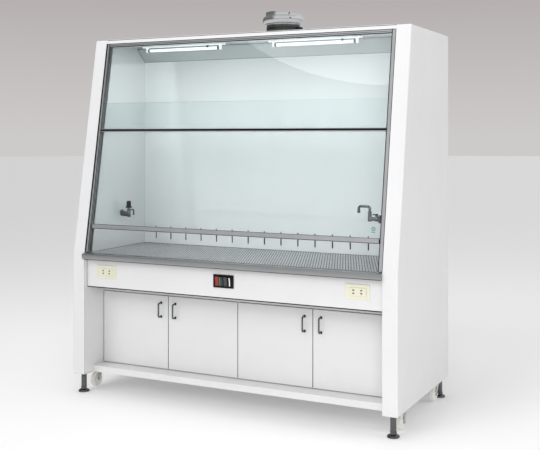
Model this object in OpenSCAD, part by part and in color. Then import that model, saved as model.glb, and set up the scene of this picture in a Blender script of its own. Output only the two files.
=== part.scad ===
// Free-standing bench fume hood: two leaning side columns, a sliding glass sash
// balanced by counterweights, a steel worktop and two cupboards underneath.
// Origin: on the floor, under the middle of the footprint. X to the right, Y to the back.

/* [Body] */
// Width over the two side columns
body_w = 1800; // [1500:50:2100]
// Depth of the side columns
body_d = 800; // [780:10:840]
// Height of the roof above the floor
body_h = 1870; // [1860:1:1880]
// Thickness of one side column
column_t = 73; // [71:1:76]
// Clear height under the body
ground_gap = 100; // [99:1:102]
// Height at which the front starts to lean back
kink_z = 732; // [731:1:733]
// How far the roof's front edge lies behind the columns' front
lean_back = 195; // [190:1:200]
// Thickness of the steel sheet
sheet = 2; // [1.6:0.1:2.2]
// Thickness of the interior lining boards
liner_t = 4; // [3:0.5:5]

/* [Worktop] */
// Height of the worktop's surface
worktop_z = 738; // [737:1:740]
// Height of the worktop's front nose
nose_t = 28; // [26:1:30]
// How far the nose stands out in front of the columns
nose_out = 20; // [14:1:24]

/* [Sash] */
// Length of the sliding glass along the slope
sash_glass_len = 665; // [655:1:668]
// Height of the sash's bottom rail, along the slope
sash_rail_h = 24; // [22:1:26]
// How far the sash stands open, along the slope, above its closed stop
sash_open = 125; // [110:1:130]
// Where the fixed upper glass ends, along the slope
upper_glass_s = 652; // [640:1:660]
// Thickness of both glass panes
glass_t = 5; // [4:0.5:6]
// Radius at which the sash rope runs on its pulley
rope_r = 35; // [34:1:36]
// Height of one counterweight
weight_h = 372; // [350:1:400]

/* [Exhaust] */
// Outer radius of the duct collar's top band
duct_r = 97; // [96:1:99]
// Height of the duct collar's top above the floor
duct_top = 2030; // [2025:1:2040]
// Distance of the duct's axis from the back panel
duct_back = 116; // [115:1:120]
// Number of exhaust slots along the foot of the baffle
slot_count = 16; // [8:1:16]
// Distance between the exhaust slots
slot_pitch = 100; // [60:5:100]

/* [Cupboards] */
// Height of the cupboard floor above the ground
shelf_z = 134; // [132:1:136]
// Height of the doors' top edge
door_top = 518; // [500:1:519]
// Gap around the doors
door_gap = 3; // [2.5:0.5:4]
// Thickness of a door
door_t = 18; // [16:1:20]

/* [Controls] */
// Height of the sockets and switches above the floor
control_z = 643; // [635:1:650]
// Distance of each socket plate from the middle
outlet_x = 700; // [600:10:720]
// Distance between the rocker switches
rocker_pitch = 23.5; // [23:0.5:25]

/* [Hidden] */
$fn = 48;

// Levels and planes of the body
front_y = -(body_d + nose_out) / 2 + nose_out;
back_y = front_y + body_d;
nose_y = front_y - nose_out;
inner_x = body_w / 2 - column_t;
foot_x = body_w / 2 - column_t / 2;
bearer_z = worktop_z - nose_t;
lean = atan(lean_back / (body_h - kink_z));
slope_len = (body_h - kink_z) / cos(lean);
baffle_y = front_y + 552;
ceiling_z = body_h - 25;
baffle_top_z = body_h - 95;
baffle_rise = ceiling_z - baffle_top_z;
shelf_h = 33;
shelf_y = front_y + 74;
panel_y = front_y + 24;
panel_z0 = 562.5;
door_y = front_y + 164;
slot_z0 = 764;
slot_h = 72;
slot_w = 7;
duct_y = back_y - duct_back;

// Layers of the sash frame, measured inward from the leaning front plane
frame_w = 22;
frame_d = 34;
frame_s0 = 12.2;
frame_s1 = slope_len - 19.6;
frame_bar = 19;
upper_glass_d = 6.5;
sash_glass_d = 21;
sash_s = 12 + sash_open;
sash_glass_x = inner_x - 11;
rail_half = inner_x - frame_w - 3;

// Sash rope and pulley inside each column
rope_x = inner_x + 21;
rope_d = 38;
rope_t = 3;
pulley_z = body_h - 55;
pulley_s = (pulley_z - kink_z + (rope_d + rope_r) * sin(lean)) / cos(lean);
pulley_y = front_y + pulley_s * sin(lean) + (rope_d + rope_r) * cos(lean);
weight_top_z = 1500;
hanger_s = sash_s + 12;

// Under the body
foot_ys = [front_y + 45, back_y - 38];
caster_ys = [front_y + 175, back_y - 122];
caster_trail = 25;
caster_r = 37.5;
caster_clear = 4;
rail_z0 = ground_gap + sheet;
rail_h = 38;
foot_shaft_r = 14;
stem_r = 8;

// Doors: left edge, width and the side that carries the hinge
pivot_in = 5;
pin_r = 2.5;
door_w = (inner_x - 2.5 * door_gap) / 2;
door_z0 = shelf_z + door_gap;

// Gas cock on the left wall and tap on the right wall
gas_x = -(inner_x - 47);
gas_y = front_y + 331;
gas_z = 925;
tap_x = 693;
tap_y = front_y + 200;
tap_z = 960;

// ---- helpers ----

// Extrudes a (y, z) outline along X, from x0 over a thickness t.
module slab_x(x0, t) {
    translate([x0, 0, 0]) rotate([90, 0, 90]) linear_extrude(t) children();
}

// A box between two opposite corners.
module box(a, b) {
    translate(a) cube(b - a);
}

// Draws its children as given, or mirrored to the left side.
module on_side(side) {
    mirror([side < 0 ? 1 : 0, 0, 0]) children();
}

// Draws its children on both sides.
module both_sides() {
    for (side = [-1, 1]) on_side(side) children();
}

// Local frame of the leaning front: Z runs up the slope from the kink, Y runs inward.
module on_slope() {
    translate([0, front_y, kink_z]) rotate([-lean, 0, 0]) children();
}

// A cylinder along X.
module rod_x(x0, x1, y, z, r) {
    translate([x0, y, z]) rotate([0, 90, 0]) cylinder(h = x1 - x0, r = r);
}

// A cylinder along Y.
module rod_y(x, y0, y1, z, r) {
    translate([x, y0, z]) rotate([-90, 0, 0]) cylinder(h = y1 - y0, r = r);
}

// A quarter bend of a round bar, in the XZ plane, centred on the origin.
module bend(bend_r, r, start) {
    rotate([90, 0, 0]) rotate([0, 0, start]) rotate_extrude(angle = 90) translate([bend_r, 0]) circle(r);
}

// Outline of a side column seen from the side, drawn in by a margin.
function column_outline(m) = [
    [front_y + m, ground_gap + m],
    [back_y - m, ground_gap + m],
    [back_y - m, body_h - m],
    [front_y + (body_h - m - kink_z) * tan(lean) + m / cos(lean), body_h - m],
    [front_y + m, kink_z - m * tan(lean / 2)]
];

// The part of the column outline above the worktop, which the liner fills.
module liner_outline() {
    intersection() {
        polygon(column_outline(sheet));
        translate([front_y, worktop_z - 4]) square([body_d, body_h]);
    }
}

// ---- casing ----

// Folded side column, open where the liner closes it.
module casing(side) {
    on_side(side) difference() {
        slab_x(inner_x, column_t) polygon(column_outline(0));
        slab_x(inner_x + sheet, column_t - 2 * sheet) polygon(column_outline(sheet));
        slab_x(inner_x - 1, sheet + 2) liner_outline();
        for (y = foot_ys) translate([foot_x, y, ground_gap - 1]) cylinder(h = sheet + 2, r = foot_shaft_r + 2);
        for (y = caster_ys) translate([foot_x, y, ground_gap - 1]) cylinder(h = sheet + 2, r = stem_r + 1);
    }
}
module left_casing() {
    color([0.93, 0.93, 0.94]) casing(-1);
}
module right_casing() {
    color([0.93, 0.93, 0.94]) casing(1);
}

// Interior side wall with the slit that the sash hanger passes through.
module liner(side) {
    on_side(side) difference() {
        slab_x(inner_x, liner_t) liner_outline();
        on_slope() box([inner_x - 1, rope_d - 4, 6], [inner_x + liner_t + 1, rope_d + 4, 480]);
    }
}
module left_liner() {
    color([0.95, 0.96, 0.96]) liner(-1);
}
module right_liner() {
    color([0.95, 0.96, 0.96]) liner(1);
}

// Roof sheet with the hole for the duct.
module roof_panel() {
    roof_y = front_y + lean_back;
    color([0.93, 0.93, 0.94]) difference() {
        box([-inner_x, roof_y, body_h - sheet], [inner_x, back_y, body_h]);
        translate([0, duct_y, body_h - sheet - 1]) cylinder(h = sheet + 2, r = duct_r - 5 + 0.5);
    }
}

// Narrow strip over the sash opening.
module header_panel() {
    color([0.94, 0.94, 0.95]) on_slope()
        box([-inner_x, 0, frame_s1], [inner_x, sheet, slope_len - sheet - 0.6]);
}

// Ceiling of the work chamber.
module ceiling_liner() {
    color([0.95, 0.96, 0.96])
        box([-inner_x, front_y + 226, ceiling_z], [inner_x, baffle_y - baffle_rise, ceiling_z + 3]);
}

// Back sheet of the body.
module rear_panel() {
    color([0.93, 0.93, 0.94])
        box([-inner_x, back_y - sheet, ground_gap + sheet], [inner_x, back_y, body_h - sheet]);
}

// Slotted inner back wall; the plenum lies behind it.
module rear_baffle() {
    color([0.95, 0.96, 0.96]) difference() {
        box([-inner_x, baffle_y, worktop_z], [inner_x, baffle_y + liner_t, baffle_top_z]);
        for (i = [0 : slot_count - 1])
            translate([(i - (slot_count - 1) / 2) * slot_pitch - slot_w / 2, baffle_y - 1, slot_z0])
                cube([slot_w, liner_t + 2, slot_h]);
    }
}

// Sloping panel from the top of the rear baffle to the ceiling.
module top_baffle() {
    color([0.95, 0.96, 0.96]) slab_x(-inner_x, 2 * inner_x) polygon([
        [baffle_y, baffle_top_z],
        [baffle_y + liner_t, baffle_top_z],
        [baffle_y - baffle_rise + liner_t, ceiling_z],
        [baffle_y - baffle_rise, ceiling_z]
    ]);
}

// ---- frame under the casing ----

// A rectangular tube along X with open ends, reaching half to each side.
module tube_x(half, y0, y1, z0, z1) {
    difference() {
        box([-half, y0, z0], [half, y1, z1]);
        box([-half - 1, y0 + sheet, z0 + sheet], [half + 1, y1 - sheet, z1 - sheet]);
    }
}

// Base rail inside a column, with sleeves for the feet and the caster stems.
module base_rail() {
    wall = 3;
    rail_a = [inner_x + sheet, front_y + sheet, rail_z0];
    rail_b = [body_w / 2 - sheet, back_y - sheet, rail_z0 + rail_h];
    w = [0, wall, wall];
    difference() {
        union() {
            difference() {
                box(rail_a, rail_b);
                box(rail_a + w + [wall, 0, 0], rail_b - w - [wall, 0, 0]);
            }
            for (y = foot_ys) translate([foot_x, y, rail_z0]) cylinder(h = rail_h, r = foot_shaft_r + 5);
            for (y = caster_ys) translate([foot_x, y, rail_z0]) cylinder(h = rail_h, r = stem_r + 5);
        }
        for (y = foot_ys) translate([foot_x, y, rail_z0 - 1]) cylinder(h = rail_h + 2, r = foot_shaft_r + 0.3);
        for (y = caster_ys) translate([foot_x, y, rail_z0 - 1]) cylinder(h = rail_h + 2, r = stem_r + 0.15);
    }
}

// Base rails, floor cross members and worktop bearers.
module bench_frame() {
    color([0.7, 0.71, 0.73]) {
        both_sides() base_rail();
        for (y = [shelf_y + 14, back_y - 60]) tube_x(inner_x - sheet, y, y + 40, rail_z0, shelf_z - sheet);
        for (y = [front_y + 70, back_y - 60]) tube_x(inner_x, y, y + 30, bearer_z - 30, bearer_z);
    }
}

// Cupboard floor, a shallow tray folded down on all sides.
module base_shelf() {
    a = [-inner_x, shelf_y, shelf_z - shelf_h];
    b = [inner_x, back_y - sheet, shelf_z];
    color([0.93, 0.93, 0.94]) difference() {
        box(a, b);
        box(a + [sheet, sheet, -1], b - [sheet, sheet, sheet]);
    }
}

// ---- worktop and controls ----

// Steel worktop skin, folded round its core.
module worktop() {
    nose_r = 6;
    z0 = bearer_z;
    color([0.72, 0.73, 0.75]) slab_x(-inner_x, 2 * inner_x) difference() {
        union() {
            translate([nose_y + nose_r, z0]) square([back_y - sheet - nose_y - nose_r, nose_t]);
            translate([nose_y, z0]) square([nose_r, nose_t - nose_r]);
            translate([nose_y + nose_r, worktop_z - nose_r]) circle(nose_r);
        }
        translate([nose_y + nose_r, z0 + sheet])
            square([back_y - 2 * sheet - nose_y - nose_r, nose_t - 2 * sheet]);
    }
}

// Board that stiffens the worktop.
module worktop_core() {
    a = [-inner_x + sheet, nose_y + 6, bearer_z + sheet];
    b = [inner_x - sheet, back_y - 2 * sheet, worktop_z - sheet];
    color([0.6, 0.5, 0.38]) box(a, b);
}

// Front panel under the nose, with cut-outs for sockets and switches.
module control_panel() {
    a = [-inner_x, panel_y, panel_z0];
    b = [inner_x, panel_y + 36, bearer_z];
    color([0.94, 0.94, 0.95]) difference() {
        box(a, b);
        box([a.x - 1, a.y + sheet, a.z + sheet], [b.x + 1, b.y + 1, b.z - sheet]);
        for (x = [-outlet_x, outlet_x])
            box([x - 48, panel_y - 1, control_z - 24], [x + 48, panel_y + sheet + 1, control_z + 24]);
        box([-50, panel_y - 1, control_z - 27], [50, panel_y + sheet + 1, control_z + 27]);
    }
}

// One twin socket: a cover plate and the insert with its slots.
module outlet() {
    plate = [120, 4, 70];
    insert = [84, 34, 36];
    slot = [9, 12, 4.2];
    difference() {
        translate([-plate.x / 2, -plate.y, -plate.z / 2]) cube(plate);
        translate([-insert.x / 2, -plate.y - 1, -insert.z / 2]) cube([insert.x, plate.y + 2, insert.z]);
    }
    difference() {
        translate([-insert.x / 2, -plate.y - 1, -insert.z / 2]) cube(insert);
        for (x = [-19.25, 19.25], z = [-7, 7])
            translate([x - slot.x / 2, -plate.y - 2, z - slot.z / 2]) cube(slot);
    }
}
module outlets() {
    color([0.93, 0.91, 0.8]) for (x = [-outlet_x, outlet_x]) translate([x, panel_y, control_z]) outlet();
}

// Bezel with one window for each rocker.
module switch_bezel() {
    flange = [112, 6, 64];
    housing = [98, 26, 52];
    color([0.08, 0.08, 0.08]) translate([0, panel_y, control_z]) difference() {
        union() {
            translate([-flange.x / 2, -flange.y, -flange.z / 2]) cube(flange);
            translate([-housing.x / 2, 0, -housing.z / 2]) cube(housing);
        }
        for (i = [0 : 3])
            translate([(i - 1.5) * rocker_pitch - 10.75, -flange.y - 1, -24]) cube([21.5, 28, 48]);
    }
}

// Rocker with a shallow V-shaped face, resting with its lower half pressed.
module rocker(i) {
    colors = [[0.75, 0.1, 0.08], [0.1, 0.12, 0.11], [0.13, 0.13, 0.13], [0.12, 0.12, 0.12]];
    color(colors[i]) translate([0, panel_y, control_z]) rotate([7, 0, 0])
        slab_x((i - 1.5) * rocker_pitch - 10, 20)
            polygon([[-6, 0], [-8.5, 22.5], [6, 21], [8, 0], [6, -21], [-8.5, -22.5]]);
}
module rocker_1() {
    rocker(0);
}
module rocker_2() {
    rocker(1);
}
module rocker_3() {
    rocker(2);
}
module rocker_4() {
    rocker(3);
}

// ---- sash ----

// Side channel of the sash frame: one groove for each pane.
module frame_channel() {
    on_slope() translate([inner_x - frame_w, 0, frame_s0]) linear_extrude(frame_s1 - frame_s0) union() {
        translate([frame_w - 3, 2]) square([3, frame_d - 2]);
        for (flange = [[2, 2.5], [14, 2], [31.5, 2.5]])
            translate([0, flange[0]]) square([frame_w, flange[1]]);
    }
}

// Side channels, top bar and the rail under the fixed pane.
module sash_frame() {
    half = inner_x - frame_w;
    groove = [upper_glass_d - 0.3, upper_glass_d + glass_t + 0.3];
    color([0.62, 0.64, 0.66]) {
        both_sides() frame_channel();
        on_slope() difference() {
            box([-half, 2, frame_s1 - frame_bar], [half, frame_d, frame_s1]);
            box([-half - 1, groove[0], frame_s1 - frame_bar - 1], [half + 1, groove[1], frame_s1 - 6]);
        }
        on_slope() difference() {
            box([-half, 2, upper_glass_s], [half, 16, upper_glass_s + 16]);
            box([-half - 1, groove[0], upper_glass_s + 6], [half + 1, groove[1], upper_glass_s + 17]);
        }
    }
}

// Fixed upper pane.
module upper_glass() {
    a = [-sash_glass_x, upper_glass_d, upper_glass_s + 6];
    b = [sash_glass_x, upper_glass_d + glass_t, frame_s1 - 6];
    color([0.8, 0.92, 0.9, 0.35]) on_slope() box(a, b);
}

// Sliding pane, behind the fixed one.
module sash_glass() {
    s0 = sash_s + 8;
    color([0.8, 0.92, 0.9, 0.35]) on_slope()
        box([-sash_glass_x, sash_glass_d, s0], [sash_glass_x, sash_glass_d + glass_t, s0 + sash_glass_len]);
}

// Bottom rail that grips the sliding pane.
module sash_rail() {
    color([0.62, 0.64, 0.66]) on_slope() difference() {
        box([-rail_half, 4, sash_s], [rail_half, 30, sash_s + sash_rail_h]);
        box([-rail_half - 1, sash_glass_d, sash_s + 8],
            [rail_half + 1, sash_glass_d + glass_t, sash_s + sash_rail_h + 1]);
    }
}

// Arms that reach from the rail through the liner to the sash ropes.
module sash_hangers() {
    color([0.75, 0.76, 0.78]) both_sides() on_slope() {
        box([rail_half - 26, 30, hanger_s - 9], [rail_half - 4, rope_d - 2, hanger_s + 9]);
        difference() {
            union() {
                box([rail_half - 26, rope_d - 2, hanger_s - 9], [rope_x + 8, rope_d + 2, hanger_s + 9]);
                translate([rope_x, rope_d, hanger_s]) cylinder(h = 26, r = 5);
            }
            translate([rope_x, rope_d, hanger_s + 14]) cylinder(h = 13, r = rope_t / 2 + 0.1);
        }
    }
}

// Front run of each sash rope, from the hanger up to the pulley.
module sash_ropes() {
    color([0.5, 0.5, 0.5]) both_sides() on_slope() translate([rope_x, rope_d, hanger_s + 14])
        cylinder(h = pulley_s - hanger_s - 14, r = rope_t / 2);
}

// Rope over each pulley and its rear run down to the counterweight, as two solids end to end.
module weight_ropes() {
    end_gap = 0.05;
    color([0.5, 0.5, 0.5]) both_sides() {
        translate([rope_x, pulley_y + rope_r, weight_top_z + 8])
            cylinder(h = pulley_z - weight_top_z - 8 - end_gap, r = rope_t / 2);
        translate([rope_x, pulley_y, pulley_z]) rotate([90, 0, 90]) intersection() {
            rotate_extrude() translate([rope_r, 0]) circle(rope_t / 2);
            rotate([0, 0, 180 - lean]) translate([-50, -100, -5]) cube([100, 100, 10]);
            translate([-50, 0, -5]) cube([100, 100, 10]);
        }
    }
}

// Counterweight bar with the eye that its rope hangs on.
module counterweight(side) {
    color([0.35, 0.36, 0.38]) on_side(side) translate([rope_x, pulley_y + rope_r, weight_top_z]) {
        difference() {
            union() {
                translate([-16, -37, -weight_h]) cube([40, 74, weight_h]);
                cylinder(h = 20, r = 7);
            }
            translate([0, 0, 8]) cylinder(h = 13, r = rope_t / 2 + 0.1);
        }
    }
}
module left_weight() {
    counterweight(-1);
}
module right_weight() {
    counterweight(1);
}

// Grooved rope pulley.
module pulley(side) {
    groove_r = rope_r - rope_t / 2 - 0.3;
    color([0.2, 0.2, 0.21]) on_side(side) translate([rope_x, pulley_y, pulley_z]) rotate([0, 90, 0])
        rotate_extrude() polygon([
            [6.08, -7], [rope_r + 5, -7], [rope_r + 5, -5], [groove_r, -2.2],
            [groove_r, 2.2], [rope_r + 5, 5], [rope_r + 5, 7], [6.08, 7]
        ]);
}
module left_pulley() {
    pulley(-1);
}
module right_pulley() {
    pulley(1);
}

// Forked brackets under the column tops, each with its axle.
module pulley_brackets() {
    top = body_h - sheet;
    color([0.75, 0.76, 0.78]) both_sides() {
        for (x = [rope_x - 12, rope_x + 9])
            box([x, pulley_y - 14, pulley_z - 14], [x + 3, pulley_y + 14, top - 3]);
        box([rope_x - 12, pulley_y - 14, top - 3], [rope_x + 12, pulley_y + 14, top]);
        rod_x(rope_x - 9, rope_x + 9, pulley_y, pulley_z, 6);
    }
}

// ---- lamps ----

lamp_x = 380;
lamp_y = front_y + 260;
lamp_len = 500;
tube_r = 8;
tube_z = ceiling_z - 37;

// Lamp housings with a holder at each end.
module lamp_battens() {
    color([0.82, 0.84, 0.85]) for (x = [-lamp_x, lamp_x]) {
        box([x - lamp_len / 2, lamp_y - 16, ceiling_z - 22], [x + lamp_len / 2, lamp_y + 16, ceiling_z]);
        for (end = [-1, 1]) difference() {
            translate([x + end * (lamp_len / 2 - 22) - 7, lamp_y - 9, tube_z - 9]) cube([14, 18, 24]);
            rod_x(x + end * (lamp_len / 2 - 26) - 7, x + end * (lamp_len / 2 - 26) + 7, lamp_y, tube_z, 3.1);
        }
    }
}

// Lamp tubes with their end pins.
module lamp_tubes() {
    color([0.97, 0.98, 0.98]) for (x = [-lamp_x, lamp_x]) {
        rod_x(x - lamp_len / 2 + 30, x + lamp_len / 2 - 30, lamp_y, tube_z, tube_r);
        for (end = [-1, 1])
            rod_x(x + end * (lamp_len / 2 - 25) - 5, x + end * (lamp_len / 2 - 25) + 5, lamp_y, tube_z, 3);
    }
}

// ---- exhaust ----

// Duct spigot: flange on the roof, neck, rolled bead and top band.
module duct_spigot() {
    neck_r = duct_r - 5;
    bead_z = duct_top - 44;
    bead_out = 17;
    color([0.75, 0.76, 0.77]) translate([0, duct_y, 0]) rotate_extrude($fn = 96) polygon(concat(
        [[neck_r - 2, body_h], [neck_r + 22, body_h], [neck_r + 22, body_h + 2], [neck_r, body_h + 2],
         [neck_r, bead_z - 28], [neck_r + 11, bead_z - 28], [neck_r + 11, bead_z - 24]],
        [for (a = [-80 : 20 : 80]) [duct_r + bead_out * cos(a), bead_z + 22 * sin(a)]],
        [[duct_r, bead_z + 24], [duct_r, duct_top], [duct_r - 2, duct_top], [duct_r - 2, bead_z + 23]],
        [for (a = [80 : -20 : -80]) [duct_r - 2 + bead_out * cos(a), bead_z + 22 * sin(a)]],
        [[neck_r - 2, bead_z - 26]]
    ));
}

// Band clamp round the neck with its tightening screw.
module duct_clamp() {
    neck_r = duct_r - 5;
    z0 = body_h + 63;
    color([0.45, 0.46, 0.47]) translate([0, duct_y, z0]) {
        difference() {
            union() {
                cylinder(h = 14, r = neck_r + 1.5);
                translate([neck_r - 4, -14, 0]) cube([24, 28, 14]);
            }
            translate([0, 0, -1]) cylinder(h = 16, r = neck_r + 0.1);
            translate([neck_r - 6, -3, -1]) cube([32, 6, 16]);
        }
        rod_y(neck_r + 13, -22, 22, 7, 4);
    }
}

// ---- cupboards ----

// Cupboard boards: sides, divider, top, back and the rail over the doors.
module cabinet_carcass() {
    y0 = door_y + door_t + 2;
    y1 = back_y - 6;
    board = 16;
    top_z = door_top + 20;
    color([0.93, 0.93, 0.94]) {
        both_sides() box([inner_x - board, y0, shelf_z], [inner_x, y1 - board, top_z - board]);
        box([-board / 2, y0, shelf_z], [board / 2, y1 - board, top_z - board]);
        box([-inner_x, y0, top_z - board], [inner_x, y1 - board, top_z]);
        box([-inner_x, y1 - board, shelf_z], [inner_x, y1, top_z]);
        difference() {
            box([-inner_x, y0 - 18, door_top + door_gap], [inner_x, y0, panel_z0 - 2]);
            box([-inner_x - 1, y0 - 16, door_top + door_gap + 2], [inner_x + 1, y0 + 1, panel_z0 - 4]);
        }
    }
}

// Left edge of a door, counted from 0.
function door_x(i) =
    [-inner_x + door_gap, -door_gap / 2 - door_w, door_gap / 2, inner_x - door_gap - door_w][i];
// Which edge carries the hinge: -1 for the left, 1 for the right.
function hinge_side(i) = [-1, 1, -1, 1][i];
function hinge_x(i) = hinge_side(i) < 0 ? door_x(i) + pivot_in : door_x(i) + door_w - pivot_in;
hinge_y = door_y + pivot_in;

// Pins that the doors turn on, set in the cupboard floor and the rail above.
module door_pivots() {
    pin_in = 12;
    color([0.7, 0.7, 0.72]) for (i = [0 : 3]) translate([hinge_x(i), hinge_y, 0]) {
        translate([0, 0, shelf_z]) cylinder(h = door_gap + pin_in, r = pin_r);
        translate([0, 0, door_top - pin_in]) cylinder(h = door_gap + pin_in, r = pin_r);
    }
}

// Door in its own frame: hinge pin at the origin, panel towards +X.
module door_leaf() {
    h = door_top - door_z0;
    skin = 1.5;
    block_h = 16;
    rim = 60;
    handle_x = door_w - pivot_in - 42;
    handle_z = 444 - door_z0;
    difference() {
        linear_extrude(h) union() {
            translate([0, -pivot_in]) square([door_w - pivot_in, door_t]);
            translate([-pivot_in, 0]) square([pivot_in, door_t - pivot_in]);
            circle(pivot_in);
        }
        translate([pivot_in + 2, -pivot_in + skin, skin])
            cube([door_w - 2 * pivot_in - 2 - skin, door_t - 2 * skin, h - 2 * skin]);
        translate([rim, -pivot_in + 4, rim]) cube([door_w - 2 * rim - pivot_in, door_t, h - 2 * rim]);
        for (z = [-1, h - block_h]) translate([0, 0, z]) cylinder(h = block_h + 1, r = pin_r + 0.1);
    }
    for (z = [handle_z - 36, handle_z + 36])
        translate([handle_x, -pivot_in, z]) rotate([90, 0, 0]) cylinder(h = 26, r = 4);
    translate([handle_x, -pivot_in - 26, handle_z - 40]) cylinder(h = 80, r = 4);
}
module door(i) {
    color([0.93, 0.93, 0.94]) translate([hinge_x(i), hinge_y, door_z0])
        mirror([hinge_side(i) > 0 ? 1 : 0, 0, 0]) door_leaf();
}
module door_1() {
    door(0);
}
module door_2() {
    door(1);
}
module door_3() {
    door(2);
}
module door_4() {
    door(3);
}

// ---- gas cock and tap ----

// Gas cock body: wall flange, stub, upright body, hose nozzle and drip pipe.
module gas_cock_body() {
    color([0.75, 0.76, 0.77]) difference() {
        union() {
            rod_x(-inner_x, -inner_x + 5, gas_y, gas_z, 18);
            rod_x(-inner_x + 5, gas_x, gas_y, gas_z, 8);
            translate([gas_x, gas_y, gas_z - 22]) cylinder(h = 45, r = 10);
            rod_y(gas_x, gas_y - 22, gas_y, gas_z - 10, 6);
            rod_y(gas_x, gas_y - 48, gas_y - 22, gas_z - 10, 4.5);
            for (i = [0 : 2]) rod_y(gas_x, gas_y - 30 - 7 * i, gas_y - 28 - 7 * i, gas_z - 10, 5.6);
            rod_y(gas_x, gas_y, gas_y + 36, gas_z + 16, 4);
            translate([gas_x, gas_y + 36, gas_z + 6]) rotate([0, 0, 90]) bend(10, 4, 0);
            translate([gas_x, gas_y + 46, gas_z - 13]) cylinder(h = 19, r = 4);
            translate([gas_x, gas_y, gas_z + 23]) cylinder(h = 14, r = 5);
        }
        rod_y(gas_x, gas_y - 49, gas_y - 20, gas_z - 10, 2.5);
    }
}

// Gas knob with its skirt, turning on the cock's spindle.
module gas_knob() {
    color([0.08, 0.08, 0.08]) translate([gas_x, gas_y, gas_z + 28.5]) difference() {
        union() {
            cylinder(h = 8, r = 17);
            translate([0, 0, 8]) cylinder(h = 30, r = 12.5);
        }
        translate([0, 0, -1]) cylinder(h = 11, r = 5.08);
        for (a = [0 : 60 : 300]) rotate([0, 0, a]) translate([14.5, 0, 9]) cylinder(h = 30, r = 3.5);
    }
}

// Tap body: wall flange, stub with its collar, and the elbow that holds the spout.
module tap_body() {
    color([0.75, 0.76, 0.77]) {
        rod_x(inner_x - 5, inner_x, tap_y, tap_z, 24);
        difference() {
            union() {
                rod_x(tap_x, inner_x - 5, tap_y, tap_z, 9);
                rod_x(tap_x + 46, tap_x + 58, tap_y, tap_z, 19);
                translate([tap_x, tap_y, tap_z - 12]) cylinder(h = 24, r = 10);
                translate([tap_x + 34, tap_y, tap_z]) cylinder(h = 14, r = 7);
                translate([tap_x + 34, tap_y, tap_z + 14]) cylinder(h = 10, r = 3);
            }
            translate([tap_x, tap_y, tap_z - 2]) cylinder(h = 15, r = 5.08);
        }
    }
}

// Quarter-turn lever on top of the tap's valve.
module tap_lever() {
    color([0.08, 0.08, 0.08]) translate([tap_x + 34, tap_y, tap_z + 14.4]) difference() {
        union() {
            cylinder(h = 10, r = 7.5);
            translate([-21, -4, 3]) cube([21, 8, 6]);
        }
        translate([0, 0, -1]) cylinder(h = 11, r = 3.08);
    }
}

// Swivelling spout.
module tap_spout() {
    pipe_r = 6.5;
    bend_r = 13;
    rise = 33;
    reach = 56;
    color([0.75, 0.76, 0.77]) translate([tap_x, tap_y, tap_z + 12.4]) {
        translate([0, 0, -12.4]) cylinder(h = 14, r = 5);
        cylinder(h = 22, r = 9.5);
        translate([0, 0, 22]) cylinder(h = rise - 22, r = pipe_r);
        translate([-bend_r, 0, rise]) bend(bend_r, pipe_r, 0);
        rod_x(-reach + bend_r, -bend_r, 0, rise + bend_r, pipe_r);
        translate([-reach + bend_r, 0, rise]) bend(bend_r, pipe_r, 90);
        translate([-reach, 0, 15]) cylinder(h = rise - 15, r = pipe_r);
        translate([-reach, 0, 14]) cylinder(h = 11, r = 7.5);
    }
}

// ---- casters and feet: 1 front left, 2 front right, 3 rear left, 4 rear right ----

function corner_x(i) = (i % 2 == 0 ? -1 : 1) * foot_x;
function row(i) = i < 2 ? 0 : 1;

// Swivel fork with its stem and wheel axle; the wheel trails towards the front.
module caster_fork(i) {
    axle_z = caster_clear + caster_r;
    crown_z = 90;
    color([0.6, 0.61, 0.62]) translate([corner_x(i), caster_ys[row(i)], 0]) {
        translate([0, 0, crown_z]) cylinder(h = 6, r = 21);
        translate([0, 0, crown_z + 6]) cylinder(h = rail_z0 + rail_h - crown_z - 8, r = stem_r);
        for (x = [-18, 15]) slab_x(x, 3) union() {
            polygon([[-16, crown_z], [14, crown_z], [-caster_trail + 9, axle_z], [-caster_trail - 9, axle_z]]);
            translate([-caster_trail, axle_z]) circle(9);
        }
        rod_x(-15, 15, -caster_trail, axle_z, 4);
    }
}
module caster_fork_1() {
    caster_fork(0);
}
module caster_fork_2() {
    caster_fork(1);
}
module caster_fork_3() {
    caster_fork(2);
}
module caster_fork_4() {
    caster_fork(3);
}

// Wheel with a rounded tread and a hub.
module caster_wheel(i) {
    half = 12;
    edge = 3;
    color([0.92, 0.9, 0.84])
        translate([corner_x(i), caster_ys[row(i)] - caster_trail, caster_clear + caster_r]) rotate([0, 90, 0])
            rotate_extrude() polygon([
                [4.08, -half - 1.5], [10, -half - 1.5], [10, -half + 2], [25, -half + 2], [28, -half],
                [caster_r - edge, -half], [caster_r, -half + edge], [caster_r, half - edge],
                [caster_r - edge, half], [28, half], [25, half - 2], [10, half - 2],
                [10, half + 1.5], [4.08, half + 1.5]
            ]);
}
module caster_wheel_1() {
    caster_wheel(0);
}
module caster_wheel_2() {
    caster_wheel(1);
}
module caster_wheel_3() {
    caster_wheel(2);
}
module caster_wheel_4() {
    caster_wheel(3);
}

// Levelling foot: domed base and a thick shaft that screws up into the base rail.
module foot(i) {
    base_r = 29;
    color([0.75, 0.76, 0.77]) translate([corner_x(i), foot_ys[row(i)], 0]) rotate_extrude() polygon(concat(
        [[0, 0], [base_r - 1.5, 0], [base_r, 1.5], [base_r, 4]],
        [for (a = [15 : 15 : 90]) [17 + (base_r - 17) * cos(a), 4 + 8 * sin(a)]],
        [[foot_shaft_r, 12], [foot_shaft_r, 128], [foot_shaft_r - 2, 130], [0, 130]]
    ));
}
module foot_1() {
    foot(0);
}
module foot_2() {
    foot(1);
}
module foot_3() {
    foot(2);
}
module foot_4() {
    foot(3);
}

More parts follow.
